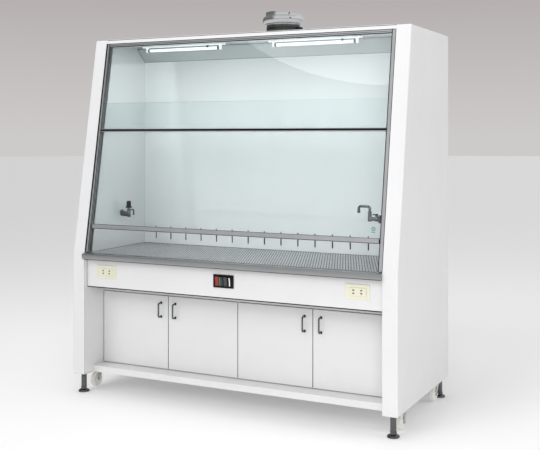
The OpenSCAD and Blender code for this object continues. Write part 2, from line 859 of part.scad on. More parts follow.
left_casing();
right_casing();
left_liner();
right_liner();
roof_panel();
header_panel();
ceiling_liner();
rear_panel();
rear_baffle();
top_baffle();
bench_frame();
worktop();
worktop_core();
control_panel();
outlets();
switch_bezel();
sash_frame();
upper_glass();
lamp_battens();
lamp_tubes();
duct_spigot();
duct_clamp();
base_shelf();
cabinet_carcass();
gas_cock_body();
tap_body();
pulley_brackets();
door_pivots();
sash_glass();
sash_rail();
sash_hangers();
sash_ropes();
weight_ropes();
left_weight();
right_weight();
left_pulley();
right_pulley();
door_1();
door_2();
door_3();
door_4();
rocker_1();
rocker_2();
rocker_3();
rocker_4();
gas_knob();
tap_lever();
tap_spout();
caster_fork_1();
caster_fork_2();
caster_fork_3();
caster_fork_4();
caster_wheel_1();
caster_wheel_2();
caster_wheel_3();
caster_wheel_4();
foot_1();
foot_2();
foot_3();
foot_4();
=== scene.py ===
# %% [markdown]
# # A bench fume hood
# The hood is two hollow side columns that lean back from the worktop up. Between them stand a lined
# work chamber with a sliding glass sash in front, a steel worktop, a panel with sockets and switches,
# and two cupboards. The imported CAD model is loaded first: it fixes every size and every moving body,
# and each finished piece below is put where the CAD node it stands for already is.

# %% The frame and the first measures
import math
import bpy
import bmesh
import numpy as np
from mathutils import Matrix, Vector


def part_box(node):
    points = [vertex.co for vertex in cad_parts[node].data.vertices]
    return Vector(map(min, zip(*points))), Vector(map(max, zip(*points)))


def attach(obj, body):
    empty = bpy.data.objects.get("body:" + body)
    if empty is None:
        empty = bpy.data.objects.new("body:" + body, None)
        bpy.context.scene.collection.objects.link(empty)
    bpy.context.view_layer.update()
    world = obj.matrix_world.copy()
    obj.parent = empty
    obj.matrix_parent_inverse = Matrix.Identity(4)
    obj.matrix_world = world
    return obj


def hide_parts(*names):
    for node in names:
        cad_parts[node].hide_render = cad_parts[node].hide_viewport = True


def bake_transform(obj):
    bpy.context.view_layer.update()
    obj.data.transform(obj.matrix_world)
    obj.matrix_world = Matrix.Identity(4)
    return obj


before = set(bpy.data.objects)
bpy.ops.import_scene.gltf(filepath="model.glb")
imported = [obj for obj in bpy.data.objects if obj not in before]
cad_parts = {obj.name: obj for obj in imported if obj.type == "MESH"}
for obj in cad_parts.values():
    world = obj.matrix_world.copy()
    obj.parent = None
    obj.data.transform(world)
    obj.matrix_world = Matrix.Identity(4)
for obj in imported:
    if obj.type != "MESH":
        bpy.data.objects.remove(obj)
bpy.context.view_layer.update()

MM = 0.001
KINK_DROP = 6  # the columns start to lean this far below the worktop
SET_BACK = 195  # how far the leaning front has gone back at the roof


def corners(node):
    """Lowest and highest corner of a CAD node, in millimetres."""
    lo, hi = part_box(node)
    return np.array(lo) / MM, np.array(hi) / MM


col_lo, col_hi = corners("right_casing")
(INNER, FRONT, GROUND), (HALF, BACK, ROOF) = col_lo, col_hi
top_lo, top_hi = corners("worktop")
BENCH, NOSE = top_hi[2], top_lo[1]
KINK = BENCH - KINK_DROP
LEAN = math.atan(SET_BACK / (ROOF - KINK))
SLOPE = (ROOF - KINK) / math.cos(LEAN)
print("column", INNER, HALF, FRONT, BACK, "roof", ROOF, "bench", BENCH, "lean", round(math.degrees(LEAN), 2))

# %% [markdown]
# ## Camera
# The hood is seen from its front right, with the lens held level at about chest height. A level lens
# keeps the uprights parallel, and a small shift lowers the frame instead of tilting the camera.

# %% Camera
cam = bpy.data.objects.new("camera", bpy.data.cameras.new("camera"))
bpy.context.scene.collection.objects.link(cam)
cam.location = (2.2463, -4.2755, 1.3503)
cam.rotation_euler = (math.radians(90), 0, math.radians(25.796))
cam.data.sensor_width = 36
cam.data.lens = 61.52
cam.data.shift_x, cam.data.shift_y = -0.0363, -0.1645
cam.data.clip_end = 200
bpy.context.scene.camera = cam
print("camera at", tuple(round(c, 3) for c in cam.location))

# %% [markdown]
# ## Studio
# A pale floor runs out to the horizon, and a plain sky stands for a studio backdrop, so every side of
# the hood can be looked at. The sky is three ramps by height, and a Light Path node picks one: the
# camera sees a backdrop that is paler near the floor, glossy surfaces mirror bright walls that are
# dimmer to the left, and everything is lit by an even grey. The ramps could be one, but then steel and
# glass would mirror the backdrop and look dull.

# %% Floor
FLOOR_RADIUS = 60  # metres, far enough to be the horizon
FLOOR_SIDES = 96


def shader(name):
    """A new node material: the material, its tree and its Principled shader."""
    made = bpy.data.materials.new(name)
    made.use_nodes = True
    return made, made.node_tree, made.node_tree.nodes["Principled BSDF"]


floor_finish, tree, skin_node = shader("studio_floor")
skin_node.inputs["Base Color"].default_value = (0.90, 0.90, 0.895, 1)
skin_node.inputs["Roughness"].default_value = 0.6
skin_node.inputs["Emission Color"].default_value = (1, 0.99, 0.985, 1)
skin_node.inputs["Emission Strength"].default_value = 0.12
turn = np.linspace(0, 2 * np.pi, FLOOR_SIDES, endpoint=False)
disc = np.c_[FLOOR_RADIUS * np.cos(turn), FLOOR_RADIUS * np.sin(turn), 0 * turn]
floor_mesh = bpy.data.meshes.new("studio_floor")
floor_mesh.from_pydata(disc.tolist(), [], [list(range(FLOOR_SIDES))])
floor_mesh.materials.append(floor_finish)
floor = bpy.data.objects.new("studio_floor", floor_mesh)
bpy.context.scene.collection.objects.link(floor)
bpy.context.scene.view_settings.view_transform = "Standard"
print("floor", FLOOR_RADIUS, "m out")

# %% Sky
world = bpy.data.worlds.new("studio")
bpy.context.scene.world = world
world.use_nodes = True
sky = world.node_tree


def sky_ramp(stops, axis="Z"):
    """Sky colour by height above the horizon, or by another axis, from (place, colour) stops."""
    ramp = sky.nodes.new("ShaderNodeValToRGB")
    for stop in stops[2:]:
        ramp.color_ramp.elements.new(stop[0])
    for element, (place, colour) in zip(ramp.color_ramp.elements, stops):
        element.position, element.color = place, (*colour, 1)
    sky.links.new(split.outputs[axis], ramp.inputs[0])
    return ramp.outputs[0]


direction = sky.nodes.new("ShaderNodeTexCoord")
split = sky.nodes.new("ShaderNodeSeparateXYZ")
sky.links.new(direction.outputs["Generated"], split.inputs[0])
backdrop = sky_ramp([(0.0, (0.61, 0.595, 0.59)), (0.15, (0.46, 0.43, 0.425)), (1.0, (0.40, 0.385, 0.38))])
mirrored = sky_ramp([(0.0, (0.62, 0.62, 0.63)), (0.25, (0.76, 0.765, 0.77)), (0.62, (0.95, 0.95, 0.95)),
                     (1.0, (0.75, 0.75, 0.75))])
leftward = sky.nodes.new("ShaderNodeMapRange")
sky.links.new(split.outputs["X"], leftward.inputs[0])
for socket, value in (("From Min", -0.62), ("From Max", -0.36), ("To Min", 0.28), ("To Max", 1.0)):
    leftward.inputs[socket].default_value = value
dimmer = sky.nodes.new("ShaderNodeVectorMath")
dimmer.operation = "MULTIPLY"
sky.links.new(mirrored, dimmer.inputs[0])
sky.links.new(leftward.outputs[0], dimmer.inputs[1])
mirrored = dimmer.outputs[0]
lit = sky_ramp([(0.0, (0.38, 0.38, 0.385)), (1.0, (0.50, 0.50, 0.51))])
seen = sky.nodes.new("ShaderNodeLightPath")
pick = None
for colour, ray in ((lit, None), (mirrored, "Is Glossy Ray"), (backdrop, "Is Camera Ray")):
    if ray:
        mixer = sky.nodes.new("ShaderNodeMix")
        mixer.data_type = "RGBA"
        sky.links.new(seen.outputs[ray], mixer.inputs["Factor"])
        sky.links.new(pick, mixer.inputs["A"])
        sky.links.new(colour, mixer.inputs["B"])
        colour = next(o for o in mixer.outputs if o.type == "RGBA")
    pick = colour
sky.links.new(pick, sky.nodes["Background"].inputs[0])
print("sky nodes", len(sky.nodes))

# %% [markdown]
# Large soft lamps give long, soft shading on the painted steel. They are hidden from glossy rays, so
# no lamp shows as a bright patch in the liner or the panes. A weak long lamp inside the chamber stands
# for the light that the two battens give.

# %% Lamps
def aimed(name, kind, place, aim, energy):
    """A lamp of a kind that faces a point of the hood."""
    lamp = bpy.data.objects.new(name, bpy.data.lights.new(name, kind))
    lamp.location, lamp.data.energy = place, energy
    lamp.rotation_euler = Vector(np.array(aim) - np.array(place)).to_track_quat("-Z", "Y").to_euler()
    bpy.context.scene.collection.objects.link(lamp)
    return lamp


sun = aimed("window_light", "SUN", (-2.6, -6.0, 5.6), (0, 0, 0.8), 0.70)
sun.data.angle = math.radians(30)
key = aimed("key_lamp", "AREA", (2.6, -4.6, 2.2), (0.5, 0, 1.0), 82)
key.data.size = 2.2
side = aimed("side_lamp", "AREA", (5.4, 0.6, 2.4), (0.9, 0, 1.0), 40)
side.data.size = 2.4
top = aimed("top_lamp", "AREA", (-0.6, -0.6, 4.8), (0, 0, 1.0), 70)
top.data.size = 3.0
glow = aimed("chamber_glow", "AREA", (0, -0.16, 1.42), (0, 0.08, 1.85), 1.5)
glow.data.shape, glow.data.size, glow.data.size_y = "RECTANGLE", 1.3, 0.15
for lamp in (sun, key, side, top, glow):
    lamp.visible_glossy = False
glow.visible_transmission = False

# %% [markdown]
# ## A small workshop of shapes
# Sheet steel, rolled aluminium, turned brass and bent tube are nearly all sections carried along a
# line. So the hood needs few tools: a closed section carried through stations, a profile turned round
# an axis, a round wire along a bent path, and a sheet grid whose window cells are left open. Each
# works on whole arrays in millimetres, and the piece maker scales to metres at the end.

# %% Grid faces and carried sections
def cells(m, n, wrap_m=False, wrap_n=False):
    """Corner numbers of the four-sided faces of an m by n grid, joined end to end where it wraps."""
    i = np.arange(m if wrap_m else m - 1)[:, None]
    j = np.arange(n if wrap_n else n - 1)[None, :]
    k, l = (i + 1) % m, (j + 1) % n
    return np.stack([i * n + j, k * n + j, k * n + l, i * n + l], -1).reshape(-1, 4).tolist()


def skin(stations, caps=True, ring=False):
    """Closed sections joined in turn: stations is (m, n, 3), and the first and last are closed flat."""
    m, n = stations.shape[:2]
    faces = cells(m, n, ring, True)
    if caps and not ring:
        faces += [list(range(n)), list(range((m - 1) * n, m * n))]
    return stations.reshape(-1, 3), faces


def lay(p, q, t, way):
    """Puts section coordinates p, q and the distance t along the carrying line into X, Y, Z."""
    p, q, t = np.broadcast_arrays(p, q, t)
    if way == "x":
        return np.stack([t, p, q], -1)
    if way == "y":
        return np.stack([p, t, q], -1)
    if way == "z":
        return np.stack([p, q, t], -1)
    if way == "slope":  # p across, q inward, t up the leaning front
        return lean(p, q, t)
    return lean(t, p, q)  # "slope_x": p inward, q up the leaning front, t across


def lean(x, d, s):
    """A point of the leaning front: x across, d inward from the front plane, s up the slope."""
    x, d, s = np.broadcast_arrays(x, d, s)
    y = FRONT + s * math.sin(LEAN) + d * math.cos(LEAN)
    return np.stack([x, y, KINK + s * math.cos(LEAN) - d * math.sin(LEAN)], -1)


def bar(section, a, b, way="x"):
    """A closed section, (n, 2), carried straight from a to b."""
    section = np.array(section, float)
    return skin(lay(section[None, :, 0], section[None, :, 1], np.array([[a], [b]], float), way))


def oblong(p0, p1, q0, q1):
    """The corners of an oblong section, from (p0, q0) by (p1, q0) and (p1, q1) round to (p0, q1)."""
    return [[p0, q0], [p1, q0], [p1, q1], [p0, q1]]


def block(lo, hi, way="x"):
    """A squared section between two corners, given in the order that `way` reads its p, q and t."""
    lo, hi = np.minimum(lo, hi), np.maximum(lo, hi)
    return bar(oblong(lo[0], hi[0], lo[1], hi[1]), lo[2], hi[2], way)


print("sections run along x, y, z, and up or across the slope")


# %% Turned shapes, wires and rounded paths
def turned(profile, centre, way="z", n=48, ring=False):
    """A profile of (radius, height) rows turned round an axis through centre: p = r cos a, q = r sin a.
    A profile whose ends lie on the axis is closed there."""
    profile = np.array(profile, float)
    a = np.linspace(0, 2 * np.pi, n, endpoint=False)[None, :]
    p, q = profile[:, :1] * np.cos(a), profile[:, :1] * np.sin(a)
    shape, faces = skin(lay(p, q, profile[:, 1:], way), caps=False, ring=ring)
    return shape + np.array(centre, float), faces


def wire(path, r, n=16, side=(1, 0, 0)):
    """A round section square to a path that bends in one plane, whose normal is side: each point is
    path + r (cos a out + sin a side), where out is square to the path and to side."""
    path = np.array(path, float)
    along = np.gradient(path, axis=0)
    along /= np.linalg.norm(along, axis=1)[:, None]
    side = np.array(side, float)
    out = np.cross(along, side)
    a = np.linspace(0, 2 * np.pi, n, endpoint=False)[None, :, None]
    r = np.broadcast_to(np.array(r, float), len(path))[:, None, None]
    return skin(path[:, None] + r * (np.cos(a) * out[:, None] + np.sin(a) * side[None, None]))


def rounded_path(points, r, n=7):
    """A broken line with each inner corner turned into an arc of radius r, by n points."""
    points = np.array(points, float)
    done = [points[:1]]
    for before, here, after in zip(points[:-2], points[1:-1], points[2:]):
        a = (before - here) / np.linalg.norm(before - here)
        b = (after - here) / np.linalg.norm(after - here)
        half = math.acos(np.clip(a @ b, -1, 1)) / 2
        middle = here + (a + b) / np.linalg.norm(a + b) * r / math.sin(half)
        t = np.linspace(0, 1, n)[:, None]
        start, end = here + a * r / math.tan(half) - middle, here + b * r / math.tan(half) - middle
        spoke = start * (1 - t) + end * t
        done.append(middle + spoke / np.linalg.norm(spoke, axis=1)[:, None] * r)
    return np.concatenate(done + [points[-1:]])


print("lathe and wire ready")


# %% Sheets with windows, and copies
def sheet(us, vs, windows, place, flip=False):
    """A sheet with square windows: grid lines at the ends and at every window edge, and the cells
    whose middle lies in a window are left open. place carries (u, v) to X, Y, Z."""
    w = np.array(windows, float).reshape(-1, 4)
    u = np.unique(np.r_[us, w[:, 0], w[:, 1]])
    v = np.unique(np.r_[vs, w[:, 2], w[:, 3]])
    um, vm = (u[1:] + u[:-1])[:, None, None] / 2, (v[1:] + v[:-1])[None, :, None] / 2
    open_cell = ((um > w[:, 0]) & (um < w[:, 1]) & (vm > w[:, 2]) & (vm < w[:, 3])).any(-1)
    faces = np.array(cells(len(u), len(v)))[~open_cell.ravel()]
    used, faces = np.unique(faces, return_inverse=True)
    faces = faces.reshape(-1, 4)
    shape = place(*np.meshgrid(u, v, indexing="ij")).reshape(-1, 3)[used]
    return shape, (faces[:, ::-1] if flip else faces).tolist()


def repeat(part, places):
    """The same small shape at many places, as one set of points and faces."""
    shape, faces = part
    places = np.array(places, float)
    many = (places[:, None] + shape[None]).reshape(-1, 3)
    step = len(shape)
    return many, [[i + k * step for i in f] for k in range(len(places)) for f in faces]


def oval(w, h, r, n=5):
    """A rectangle w by h with corners of radius r, each by n points, anticlockwise."""
    a = np.radians(np.arange(4)[:, None] * 90 + np.linspace(0, 90, n)[None, :])
    cx = np.array([1, -1, -1, 1])[:, None] * (w / 2 - r)
    cy = np.array([1, 1, -1, -1])[:, None] * (h / 2 - r)
    return np.stack([cx + r * np.cos(a), cy + r * np.sin(a)], -1).reshape(-1, 2)


print("sheets, copies and rounded rectangles ready")

# %% [markdown]
# Every piece is made by one helper. It joins its parts into one mesh in metres at the world's origin,
# merges doubles, turns the faces outwards, and adds a bevel and a wall where the piece needs them.
# Then it puts the piece on the body it rides on, and hides the CAD nodes it stands for.

# %% Piece maker
WELD = 2e-6  # metres between points that are one
made_pieces = []


def piece(name, parts, finish, body="cabinet", stands_for=(), edge=0.0, steps=2,
          wall=0.0, closed=True, angle=35, weld=True):
    """Makes one object of the parts, each (points, faces) or (points, faces, finish number), and gives
    it to a body. edge rounds its sharp edges, and wall gives an open sheet its thickness, inward."""
    points, faces, marks, step = [], [], [], 0
    for part in parts:
        points.append(np.array(part[0], float) * MM)
        faces += [[i + step for i in f] for f in part[1]]
        marks += [part[2] if len(part) > 2 else 0] * len(part[1])
        step += len(part[0])
    mesh = bpy.data.meshes.new(name)
    mesh.from_pydata(np.concatenate(points).tolist(), [], faces)
    for f in finish if isinstance(finish, (list, tuple)) else [finish]:
        mesh.materials.append(f)
    mesh.polygons.foreach_set("material_index", marks)
    if weld or closed:
        work = bmesh.new()
        work.from_mesh(mesh)
        if weld:
            bmesh.ops.remove_doubles(work, verts=work.verts, dist=WELD)
        if closed:
            bmesh.ops.recalc_face_normals(work, faces=work.faces)
        work.to_mesh(mesh)
        work.free()
    mesh.shade_smooth()
    made = bpy.data.objects.new(name, mesh)
    bpy.context.scene.collection.objects.link(made)
    if wall:
        thick = made.modifiers.new("wall", "SOLIDIFY")
        thick.thickness, thick.offset, thick.use_even_offset = wall * MM, -1, True
    if edge:
        round_off = made.modifiers.new("edge", "BEVEL")
        round_off.width, round_off.segments = edge * MM, steps
        round_off.limit_method, round_off.angle_limit = "ANGLE", math.radians(angle)
        round_off.harden_normals = True
    else:
        mesh.set_sharp_from_angle(angle=math.radians(angle))
    if body:
        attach(made, body)
    if stands_for:
        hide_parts(*([stands_for] if isinstance(stands_for, str) else stands_for))
    made_pieces.append(made)
    return made


print("piece maker ready")

# %% [markdown]
# ## Finishes
# Real finishes are read from small things: the orange peel of powder coat, the drawn grain of
# stainless steel, the moulded grain of a switch plate, and faint smears where hands go. Each such
# effect is one node group that puts out masks and heights, and every material mixes them its own way.
# All of them read Object coordinates, which are metres here, so a scale of 500 means 2 mm.

# %% Node groups
def node(tree, kind, plugs=(), **settings):
    """Adds a node. plugs gives inputs by name or number: a socket is linked and a value is set."""
    made = tree.nodes.new("ShaderNode" + kind)
    for key, value in settings.items():
        setattr(made, key, value)
    for key, value in dict(plugs).items():
        if isinstance(value, bpy.types.NodeSocket):
            tree.links.new(value, made.inputs[key])
        else:
            made.inputs[key].default_value = value
    return made


def group(name, inputs, outputs):
    """An empty node group with named number or vector sockets, and its inner ends."""
    tree = bpy.data.node_groups.new(name, "ShaderNodeTree")
    for label, value in inputs:
        kind = "NodeSocketVector" if isinstance(value, tuple) else "NodeSocketFloat"
        tree.interface.new_socket(label, in_out="INPUT", socket_type=kind).default_value = value
    for label in outputs:
        tree.interface.new_socket(label, in_out="OUTPUT", socket_type="NodeSocketFloat")
    return tree, tree.nodes.new("NodeGroupInput").outputs, tree.nodes.new("NodeGroupOutput").inputs


def noise(tree, vector, scale, detail=2.0, rough=0.5):
    """A cloud of values about 0.5."""
    plugs = {"Vector": vector, "Scale": scale, "Detail": detail, "Roughness": rough}
    return node(tree, "TexNoise", plugs).outputs[0]


def spread(tree, value, low, high, to_low=0.0, to_high=1.0):
    """Stretches the part of a mask between low and high to a new range, clamped."""
    plugs = {0: value, 1: low, 2: high, 3: to_low, 4: to_high}
    return node(tree, "MapRange", plugs).outputs[0]


# Orange peel: soft dimples about a millimetre apart, and a slow drift of tone over a whole panel.
peel_group, ends, outs = group("orange_peel", [("Scale", 700.0)], ["Height", "Drift"])
where = node(peel_group, "TexCoord").outputs["Object"]
peel_group.links.new(noise(peel_group, where, ends["Scale"], 1.5), outs["Height"])
peel_group.links.new(spread(peel_group, noise(peel_group, where, 3.2, 3.0), 0.3, 0.7), outs["Drift"])

# Grain: noise stretched along the direction in which the metal was brushed or drawn.
grain_group, ends, outs = group("drawn_grain", [("Stretch", (1.0, 1.0, 1.0)), ("Scale", 900.0)],
                                ["Grain", "Bands"])
where = node(grain_group, "TexCoord").outputs["Object"]
pulled = node(grain_group, "VectorMath", {0: where, 1: ends["Stretch"]}, operation="MULTIPLY").outputs[0]
grain_group.links.new(noise(grain_group, pulled, ends["Scale"], 3.0, 0.7), outs["Grain"])
few = node(grain_group, "Math", {0: ends["Scale"], 1: 0.07}, operation="MULTIPLY").outputs[0]
grain_group.links.new(spread(grain_group, noise(grain_group, pulled, few, 2.0), 0.3, 0.7), outs["Bands"])

# Handling: smears left by wiping, fine specks, and a film of dust that fades out above the floor.
hand_group, ends, outs = group("handling", [("Dust height", 0.5)], ["Smear", "Specks", "Dust"])
where = node(hand_group, "TexCoord").outputs["Object"]
wiped = node(hand_group, "VectorMath", {0: where, 1: (1.0, 1.0, 0.35)}, operation="MULTIPLY").outputs[0]
hand_group.links.new(spread(hand_group, noise(hand_group, wiped, 9.0, 5.0, 0.62), 0.42, 0.72), outs["Smear"])
hand_group.links.new(spread(hand_group, noise(hand_group, where, 260.0, 1.0), 0.70, 0.78), outs["Specks"])
height = node(hand_group, "SeparateXYZ", {0: where}).outputs["Z"]
low = node(hand_group, "MapRange", {0: height, 1: 0.0, 2: ends["Dust height"], 3: 1.0, 4: 0.0}).outputs[0]
patchy = spread(hand_group, noise(hand_group, where, 14.0, 4.0), 0.3, 0.75)
settled = node(hand_group, "Math", {0: low, 1: patchy}, operation="MULTIPLY").outputs[0]
hand_group.links.new(settled, outs["Dust"])
print("groups", [g.name for g in bpy.data.node_groups])

# %% Recipes for a finish
def use(tree, made_group, values=()):
    """Places a node group in a material with this finish's own values."""
    placed = node(tree, "Group", node_tree=made_group)
    for key, value in dict(values).items():
        placed.inputs[key].default_value = value
    return placed.outputs


def tint(tree, mask, a, b):
    """A colour that goes from a to b with the mask."""
    mixed = node(tree, "Mix", data_type="RGBA")
    mixed.inputs["A"].default_value = (*a, 1) if isinstance(a, tuple) else (0, 0, 0, 1)
    if not isinstance(a, tuple):
        tree.links.new(a, mixed.inputs["A"])
    mixed.inputs["B"].default_value = (*b, 1)
    tree.links.new(mask, mixed.inputs["Factor"])
    return next(o for o in mixed.outputs if o.type == "RGBA")


def dent(tree, shade, height, depth, strength=1.0):
    """Lets a height mask of so many metres tilt the surface."""
    bump = node(tree, "Bump", {"Height": height, "Distance": depth, "Strength": strength})
    tree.links.new(bump.outputs[0], shade.inputs["Normal"])


def shade_of(colour, factor):
    """The same hue, darker or lighter by a factor."""
    return tuple(c * factor for c in colour)


def times(tree, mask, factor):
    """A mask made weaker by a factor."""
    return node(tree, "Math", {0: mask, 1: factor}, operation="MULTIPLY").outputs[0]


DUST = (0.62, 0.60, 0.56)


def painted(name, colour, rough, peel=700.0, depth=0.00002, coat=0.0, dust=0.5):
    """Powder coat or enamel: orange peel, a slow drift of tone, faint smears, and dust near the floor."""
    made, tree, shade = shader(name)
    peeled, handled = use(tree, peel_group, {"Scale": peel}), use(tree, hand_group, {"Dust height": dust})
    base = tint(tree, peeled["Drift"], shade_of(colour, 0.985), shade_of(colour, 1.015))
    base = tint(tree, times(tree, handled["Specks"], 0.18), base, shade_of(colour, 0.72))
    base = tint(tree, times(tree, handled["Dust"], 0.16), base, DUST)
    tree.links.new(base, shade.inputs["Base Color"])
    tree.links.new(spread(tree, handled["Smear"], 0, 1, rough - 0.03, rough + 0.09),
                   shade.inputs["Roughness"])
    shade.inputs["Coat Weight"].default_value = coat
    shade.inputs["Coat Roughness"].default_value = 0.04
    dent(tree, shade, peeled["Height"], depth)
    return made


def drawn(name, colour, rough, stretch, scale=900.0, depth=0.00001, swing=0.12):
    """Bare metal with a drawn or brushed grain."""
    made, tree, shade = shader(name)
    grain, handled = use(tree, grain_group, {"Stretch": stretch, "Scale": scale}), use(tree, hand_group)
    base = tint(tree, grain["Bands"], shade_of(colour, 0.94), shade_of(colour, 1.04))
    base = tint(tree, times(tree, handled["Smear"], 0.22), base, shade_of(colour, 0.80))
    tree.links.new(base, shade.inputs["Base Color"])
    shade.inputs["Metallic"].default_value = 1.0
    level = spread(tree, grain["Grain"], 0.25, 0.75, rough - swing / 2, rough + swing / 2)
    worn = node(tree, "Math", {0: times(tree, handled["Smear"], 0.08), 1: level}, operation="ADD").outputs[0]
    tree.links.new(worn, shade.inputs["Roughness"])
    dent(tree, shade, grain["Grain"], depth)
    return made


def moulded(name, colour, rough, grain=1500.0, depth=0.00002, worn=None):
    """Moulded plastic: a fine die grain, a little drift, and less roughness where fingers have polished it.
    There the colour goes to a given worn colour; without one it is lifted, as a painted sheen.
    """
    made, tree, shade = shader(name)
    peeled, handled = use(tree, peel_group, {"Scale": grain}), use(tree, hand_group, {"Dust height": 0.3})
    base = tint(tree, peeled["Drift"], shade_of(colour, 0.95), shade_of(colour, 1.05))
    # Where the smear mask is, the colour goes to the worn colour; without one it is lifted, which is a
    # painted sheen.
    base = tint(tree, times(tree, handled["Smear"], 0.25), base, worn or shade_of(colour, 1.25))
    tree.links.new(base, shade.inputs["Base Color"])
    tree.links.new(spread(tree, handled["Smear"], 0, 1, rough + 0.06, rough - 0.06),
                   shade.inputs["Roughness"])
    dent(tree, shade, peeled["Height"], depth)
    return made


print("recipes for paint, metal and plastic")

# %% [markdown]
# The chamber's boards have a glossy coat, so they mirror the tap and the studs. The tubes glow a little,
# as lamps that are lit do, and the enamelled battens and lamp ends glow too, which is painted light.
# The sloping board and the ceiling get a darker copy of the liner, as painted shade. Bright metals
# differ in grain: long and straight on the rolled worktop, round on the spun collar, and even on the
# anodised frame. The dark base colour of the chromed fittings is a painted reflection of the dark
# room that real chrome would mirror.

# %% The hood's finishes
WHITE = painted("white_powder_coat", (0.77, 0.77, 0.775), 0.34)
LINER = painted("white_gloss_liner", (0.70, 0.725, 0.73), 0.08, peel=90.0, depth=0.000003, coat=1.0,
                dust=0.1)
# A darker copy of the liner for the sloping board and the ceiling: painted shade for the lower light there.
SHADED = painted("liner_painted_shade", (0.47, 0.515, 0.52), 0.16, peel=90.0, depth=0.000003, coat=0.4,
                 dust=0.1)
# The lamp enamel gets a faint glow further down: painted light on the battens and lamp ends, which are no
# lamps.
ENAMEL = painted("lamp_enamel_painted_glow", (0.86, 0.875, 0.875), 0.25, dust=0.1)
OPAL = painted("opal_glass_tube", (0.86, 0.88, 0.87), 0.10, peel=60.0, depth=0.000004, coat=0.6,
               dust=0.1)
EVEN = (1.0, 1.0, 1.0)
STEEL = drawn("brushed_stainless", (0.38, 0.385, 0.39), 0.34, (0.02, 1.0, 1.0))
FIELD = drawn("etched_field_steel", (0.035, 0.036, 0.037), 0.5, EVEN, scale=700.0)
STUD = drawn("polished_stud_tops", (0.58, 0.585, 0.59), 0.30, EVEN, scale=500.0)
DUCT_STEEL = drawn("spun_stainless", (0.62, 0.63, 0.635), 0.17, (1.0, 1.0, 12.0), scale=60.0,
                   depth=0.000006)
ALLOY = drawn("anodised_aluminium", (0.66, 0.67, 0.68), 0.36, (0.05, 0.05, 0.05), scale=2600.0,
              depth=0.000006, swing=0.08)
# The chrome's dark base colour is a painted reflection of a dark room.
CHROME = drawn("chrome_painted_dark_reflection", (0.125, 0.13, 0.13), 0.08, EVEN, scale=300.0, depth=0.000003, swing=0.05)
ZINC = drawn("zinc_plate", (0.55, 0.57, 0.60), 0.34, EVEN, scale=120.0, depth=0.00002, swing=0.16)
PIN = drawn("turned_pin_steel", (0.60, 0.61, 0.62), 0.25, (1.0, 1.0, 8.0), scale=500.0)
DARK_STEEL = drawn("black_oxide_steel", (0.06, 0.062, 0.066), 0.36, EVEN, scale=400.0)
# This black also makes the strips and screen that are painted shade in the hood's gaps and recesses.
BLACK = moulded("black_moulding_and_painted_shade", (0.007, 0.007, 0.0075), 0.45)
IVORY = moulded("ivory_moulding", (0.78, 0.765, 0.61), 0.36)
RED = moulded("red_rocker", (0.30, 0.022, 0.018), 0.28)
GREEN_BLACK = moulded("green_black_rocker", (0.020, 0.026, 0.024), 0.28)
GREEN = moulded("green_mark", (0.02, 0.30, 0.16), 0.35)
SLATE = moulded("slate_rocker", (0.045, 0.047, 0.05), 0.28)
MARK = moulded("white_mark", (0.85, 0.86, 0.85), 0.40)
SLEEVE = moulded("dark_sleeve_rubber", (0.045, 0.046, 0.038), 0.22)
# This grey makes real joints in the chamber and also the rims under the back covers, which are painted shade.
SEALANT_AND_SHADE = moulded("grey_sealant_and_painted_shade", (0.13, 0.155, 0.155), 0.5)
CREAM = moulded("cream_nylon", (0.84, 0.825, 0.77), 0.42, grain=900.0, worn=(0.66, 0.64, 0.58))
GLOW = (0.95, 1, 1, 1)
# The enamel's emission is painted light; the opal tube's emission is the glow of a lamp.
for finish, settings in ((LINER, {"Coat IOR": 1.8, "Coat Roughness": 0.12}),
                         (BLACK, {"Specular IOR Level": 0.2}),
                         (OPAL, {"Emission Color": GLOW, "Emission Strength": 0.55}),
                         (ENAMEL, {"Emission Color": GLOW, "Emission Strength": 0.28})):
    for socket, value in settings.items():
        finish.node_tree.nodes["Principled BSDF"].inputs[socket].default_value = value
print("materials", len(bpy.data.materials))

# %% [markdown]
# Four finishes need a recipe of their own. Iron weights keep the lumpy skin of sand casting, a board
# edge shows pressed fibres, a wire rope shows its slanting lay, and the panes are clear float glass
# with a faint green tint. A pane lets the lamps' rays straight through, as thin glass nearly does.

# %% Iron, board, rope and glass
IRON, tree, shade = shader("cast_iron")
lumps = use(tree, peel_group, {"Scale": 240.0})
rusted = tint(tree, lumps["Drift"], (0.055, 0.057, 0.06), (0.085, 0.08, 0.076))
tree.links.new(rusted, shade.inputs["Base Color"])
tree.links.new(spread(tree, lumps["Height"], 0.3, 0.7, 0.45, 0.7), shade.inputs["Roughness"])
shade.inputs["Metallic"].default_value = 0.6
dent(tree, shade, lumps["Height"], 0.0003)

BOARD, tree, shade = shader("pressed_board")
fibres = use(tree, grain_group, {"Stretch": (1.0, 1.0, 6.0), "Scale": 180.0})
pressed = tint(tree, fibres["Grain"], (0.30, 0.20, 0.11), (0.50, 0.37, 0.22))
tree.links.new(pressed, shade.inputs["Base Color"])
tree.links.new(spread(tree, fibres["Bands"], 0, 1, 0.7, 0.9), shade.inputs["Roughness"])
dent(tree, shade, fibres["Grain"], 0.0002)

ROPE, tree, shade = shader("wire_rope")
where = node(tree, "TexCoord").outputs["Object"]
lay_of_rope = node(tree, "TexWave", {"Vector": where, "Scale": 160.0}, wave_type="BANDS",
                   bands_direction="DIAGONAL").outputs["Fac"]
strands = tint(tree, lay_of_rope, (0.10, 0.10, 0.11), (0.45, 0.46, 0.47))
tree.links.new(strands, shade.inputs["Base Color"])
tree.links.new(spread(tree, lay_of_rope, 0, 1, 0.55, 0.30), shade.inputs["Roughness"])
shade.inputs["Metallic"].default_value = 1.0
dent(tree, shade, lay_of_rope, 0.0004)

